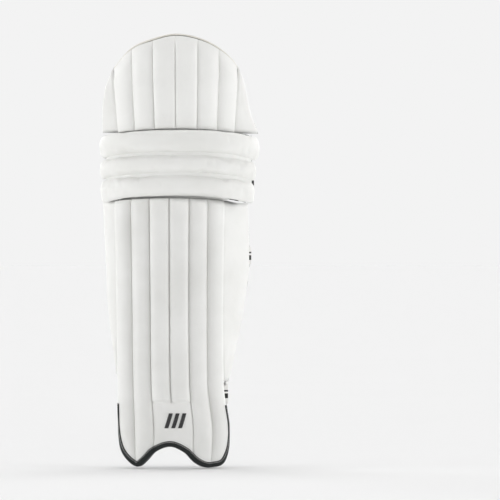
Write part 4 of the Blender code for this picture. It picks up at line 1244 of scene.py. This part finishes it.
STRAPS = {
    "calf": dict(z=340.0, tilt=0.004, body="shin", ring_body="outer_wing", tail_x=-98.6,
                 points=[(105.5, 110.5), (88, 119), (50, 127.5), (5, 130.5), (-42, 126), (-80, 111), (-103, 88),
                         (-109.5, 74)]),
    "knee": dict(z=461.0, tilt=0.012, body="knee", ring_body="knee", tail_x=-107.0,
                 points=[(111.5, 92.5), (98, 106), (62, 122), (12, 131), (-38, 128), (-80, 114), (-106, 94),
                         (-112, 84)]),
    "ankle": dict(z=111.5, tilt=0.055, body="shin", ring_body="shin", tail_x=-74.4,
                  points=[(77, 62.5), (73, 77), (52, 95), (14, 105), (-30, 103), (-64, 87), (-84, 64),
                          (-90.5, 51)]),
}


def strap_ends():
    """Rims of the pad that the rings and the base straps are sewn to, as (rim, heading, end)."""
    slope = (math.cos(FLAP_SLOPE), math.sin(FLAP_SLOPE))
    out = (slope[1], -slope[0])
    tips = []
    for side, edges in ((1, WING_EDGE), (-1, INNER_EDGE)):
        root = shin_point(side, 340, 0)
        edge = along(340, edges)
        tips.append((edge, root[1] + abs(edge - root[0]) * math.tan(FLAP_SLOPE)))
    calf = (moved(tips[0], (out, -3.5)), slope,
            (tips[1][0] + out[0] * 4.5 - slope[0] * 1.2, tips[1][1] + 2.5 + slope[1] * 1.2))
    limit = math.radians(49)
    ks = (math.cos(limit), math.sin(limit))
    knee = (knee_point(KNEE_BACK_R - 10, limit, 0)[:2], ks,
            moved(knee_point(KNEE_BACK_R - 10, -limit, 0), ((-ks[0], ks[1]), 0.2)))
    a = (math.cos(ARC), math.sin(ARC))
    ankle = (moved(shin_point(1, 100, 8), (a, 1.0)), a, moved(shin_point(-1, 109, 8), ((-a[0], a[1]), 3.0)))
    return {"calf": calf, "knee": knee, "ankle": ankle}


def make_ring(label, a, b, bar_z, body):
    span = math.hypot(b[0] - a[0], b[1] - a[1])
    r = ((b[0] - a[0]) / span, (b[1] - a[1]) / span)
    centre = ((a[0] + b[0]) / 2, (a[1] + b[1]) / 2)
    corner, thick = 4.5, 1.75
    rings = []
    for sx, sz, start in ((1, 1, 0), (-1, 1, 90), (-1, -1, 180), (1, -1, 270)):
        for angle in [math.radians(start + 90 * t) for t in even(12)]:
            s = sx * (span / 2 - corner) + corner * math.cos(angle)
            z = sz * (RING_HEIGHT / 2 - corner) + corner * math.sin(angle)
            ring = []
            for t in turns(16):
                out, side = (thick * math.copysign(abs(w) ** 0.7, w) for w in (math.cos(t), math.sin(t)))
                spot = moved(centre, (r, s + out * math.cos(angle)), ((r[1], -r[0]), side))
                ring.append(spot + (bar_z + z + out * math.sin(angle),))
            rings.append(ring)
    tube("%s_strap_ring" % label, rings, PLASTIC, body, "white_plastic", ["%s_ring" % label], closed=True)


def cross_stitches(name, p, lift_out, z, body):
    """Line of stitches across a strap."""
    low, width = z - STRAP_WIDTH / 2 + 1.5, STRAP_WIDTH - 3
    path = [(p[0] + lift_out[0], p[1] + lift_out[1], low + width * t) for t in even(12)]
    stitches(name, path, lift_out + (0,), body, pitch=2.6, length=1.9, radius=0.34)


def make_straps():
    ends = strap_ends()
    for n, (label, facts) in enumerate(STRAPS.items()):
        rim, e, end = ends[label]
        start = facts["points"][0]
        path = smooth_path(facts["points"] + [end], 12)
        h = headings(smooth_path(facts["points"] + [end], 4))[0]
        out = (h[1], -h[0])
        bar = moved(start, (out, FOLD_R))

        def height(x, facts=facts):
            return facts["z"] + facts["tilt"] * x

        lead = [p for p in path if math.hypot(p[0] - start[0], p[1] - start[1]) > 5.6]
        bends = label == "calf"
        base_strap = ribbon(label + "_base_strap", lead, STRAP, height, STRAP_WIDTH, LOOP,
                            None if bends else facts["body"], "striped_webbing", [label + "_strap_base"],
                            n * 7.0, 0.3)
        if bends:
            row((-108, 80, 340))
            row((20, 128, 340))
            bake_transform(base_strap)
        outer = offset_path(path, 2 * FOLD_R)
        kept = [p for p in outer[1:] if p[0] > facts["tail_x"]]
        turn = math.atan2(-out[1], -out[0])
        middle = (math.cos(turn + math.pi / 2), math.sin(turn + math.pi / 2))
        sign = 1 if middle[0] * h[0] + middle[1] * h[1] < 0 else -1
        fold = []
        for a in [turn + sign * math.pi * t for t in even(16)]:
            fold.append(moved(bar, ((math.cos(a), math.sin(a)), FOLD_R)))
        tail_body = label + "_tail"
        ribbon(label + "_tail_strap", fold + kept, STRAP, height, STRAP_WIDTH, WEB, tail_body, "striped_webbing",
               [label + "_strap_tail"], n * 7.0 + 3, 0.35)
        sides = headings(outer)
        for m, index in enumerate((len(kept) - 3, 14 if label != "ankle" else 10)):
            d = sides[index + 1]
            lift = (d[1] * 1.45, -d[0] * 1.45)
            cross_stitches("%s_tail_stitches_%d" % (label, m), kept[index], lift, height(kept[index][0]),
                           tail_body)
        ring_a = moved(rim, (e, 8.0))
        make_ring(label, ring_a, bar, height(bar[0]), facts["ring_body"])
        side = (e[1], -e[0])
        r = ROD_R + 1.0
        hem = ((0.3, 1.5), (3.5, 2.0))
        tab = [moved(rim, (e, reach), (side, lift)) for reach, lift in hem]
        for a in [math.pi * (0.5 - t) for t in even(16)]:
            tab.append(moved(ring_a, (e, r * math.cos(a)), (side, r * math.sin(a))))
        tab += [moved(rim, (e, reach), (side, -lift)) for reach, lift in reversed(hem)]
        ribbon(label + "_tab", tab, 1.4, lambda x, z=height(bar[0]): z, STRAP_WIDTH - 6, WEB,
               facts["ring_body"], "striped_webbing", [label + "_ring_tab"], n + 20.0, 0.0)


# ------------------------------------------------------------------ cloth folds between bodies

def make_folds():
    """Cloth folds that close the pad at the knee, front and back, between the shin, knee and top."""
    count = 50
    for name, a, b, low, high in (("lower_knee_fold", "shin", "knee", 427.0, 447.0),
                                  ("upper_knee_fold", "knee", "top", 531.0, 553.0)):
        lower = a == "shin"
        rings = []
        for j in range(13):
            v = j / 12
            share = ease(v * 1.5 - 0.25 if lower else 1.25 - v * 1.5)
            ring = []
            for k in range(2 * count):
                behind = k >= count
                t = -1 + 2 * (k % count) / (count - 1)
                t = 0.97 * (-t if behind else t)
                z = low + (high - low) * v - (5.5 if lower else 7.0) * t * t
                flat = (shin_point if lower else top_point)(t, z, 18.5 if behind else 5.5)
                knee = knee_point(KNEE_BACK_R + (-8.0 if behind else 5.0), t * math.radians(36.5), z)
                ring.append(tuple(f + (g - f) * share for f, g in zip(flat, knee)))
            rings.append(ring)
        slots = [0 if k < count - 1 else 1 for _ in range(12) for k in range(2 * count)]
        piece = tube(name, rings, [WHITE, BLACK], None, "black_lining", capped=False, face_slots=slots)
        middle = 437 if lower else 542
        row((0, 30, middle - 6))
        row((0, 30, middle + 6))
        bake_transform(piece)


def make_label():
    """Plain sewn-in label at the edge of the wing, with a column of dots."""
    def at(q, v):
        z = 368.0 + 41.0 * v
        root = shin_point(1, z, 0)
        edge = along(z, WING_EDGE)
        skin = flap_thickness(q) + 0.15 * wave(z / 14, q * 5, 9.0)
        return [flap_point(root, edge, 1, q, skin + lift) for lift in (0.7, 1.2)]

    s = Shader("label_tape")
    x, _, z = s.axes()
    dots = ((z / 0.0052).fraction() < 0.5) * x.within(0.1145, 0.1165)
    s.colour(s.mix(dots, (0.78, 0.78, 0.77), (0.12, 0.12, 0.12)))
    s.rough(s.patches(300.0, 3.0, 0.5, 0.65)).weave(0.0007, x, z, 0.00008)
    plate("size_label", *skins((0.72, 0.78, 0.84, 0.90, 0.96, 0.985), even(12), at), s.material,
          "outer_wing", "white_label", ["wing_label"])


# ------------------------------------------------------------------ CAD nodes that stay, mostly inside

def dress(node_name, material):
    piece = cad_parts[node_name]
    piece.data.materials.clear()
    piece.data.materials.append(material)


def dress_frame():
    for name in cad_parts:
        if "cane" in name:
            dress(name, CANE)
        elif name.endswith("_foam"):
            dress(name, FOAM)
        elif name.endswith("_board"):
            dress(name, GREY_BOARD)
        elif name.endswith("_hook_pad"):
            dress(name, HOOKS)


# ------------------------------------------------------------------ stage, lights, camera

def make_stage():
    low = CAD_BOX[0].z - 0.0016
    size = 90.0
    mesh = bpy.data.meshes.new("floor")
    mesh.from_pydata([(-size, -size, low), (size, -size, low), (size, size, low), (-size, size, low)], [],
                     [(0, 1, 2, 3)])
    floor = bpy.data.objects.new("floor", mesh)
    bpy.context.scene.collection.objects.link(floor)
    s = Shader("pale_floor")
    s.colour(s.mix(s.patches(3.0), (FLOOR_WHITE,) * 3, (FLOOR_WHITE * 0.995,) * 3))
    mesh.materials.append(s.fixed(Roughness=0.9, Specular_IOR_Level=0.0).material)


def soft_sun(name, toward, power, spread_angle):
    """Wide, even light from one direction."""
    data = bpy.data.lights.new(name, "SUN")
    data.energy = power
    data.angle = math.radians(spread_angle)
    lamp = bpy.data.objects.new(name, data)
    lamp.rotation_euler = Vector(toward).to_track_quat("Z", "Y").to_euler()
    bpy.context.scene.collection.objects.link(lamp)


def make_lights():
    world = bpy.data.worlds.new("studio")
    bpy.context.scene.world = world
    world.use_nodes = True
    tree = world.node_tree
    background = tree.nodes["Background"]
    place = tree.nodes.new("ShaderNodeTexCoord")
    split = tree.nodes.new("ShaderNodeSeparateXYZ")
    ramp = tree.nodes.new("ShaderNodeValToRGB")
    tree.links.new(place.outputs["Generated"], split.inputs[0])
    tree.links.new(split.outputs[2], ramp.inputs[0])
    tree.links.new(ramp.outputs[0], background.inputs[0])
    for element, position, level in zip(ramp.color_ramp.elements, (0.14, 0.32), (WALL_WHITE, DIM_ABOVE)):
        element.position = position
        element.color = (level, level, level, 1)
    soft_sun("overhead", (0, 0.2, 1.0), 1.75, 50)
    soft_sun("front", (0, -1.0, 0.05), 0.42, 40)
    for side, name in ((-1, "left"), (1, "right")):
        soft_sun("side_" + name, (side, -0.27, 0.13), 1.28, 30)
        soft_sun("rear_" + name, (side * 0.8, 0.8, 0.25), 0.85, 40)


def make_camera():
    data = bpy.data.cameras.new("camera")
    distance = 7.0
    view_width = 0.8085
    data.sensor_width = 36.0
    data.lens = 36.0 * distance / view_width
    data.clip_end = 300.0
    camera = bpy.data.objects.new("camera", data)
    camera.location = (0.1263, -distance - 0.03, 0.0648)
    camera.rotation_euler = (math.radians(90), 0, 0)
    bpy.context.scene.collection.objects.link(camera)
    bpy.context.scene.camera = camera
    bpy.context.scene.view_settings.view_transform = "Standard"


make_shin_face()
make_side_pieces()
make_rolls()
make_roll_seams()
make_top_face()
make_top_piping()
make_top_lining()
make_knee_cushions()
make_shin_bolsters()
make_back_lining()
make_instep()
make_binding()
make_patch_mark()
make_straps()
make_folds()
make_label()
dress_frame()
make_stage()
make_lights()
make_camera()
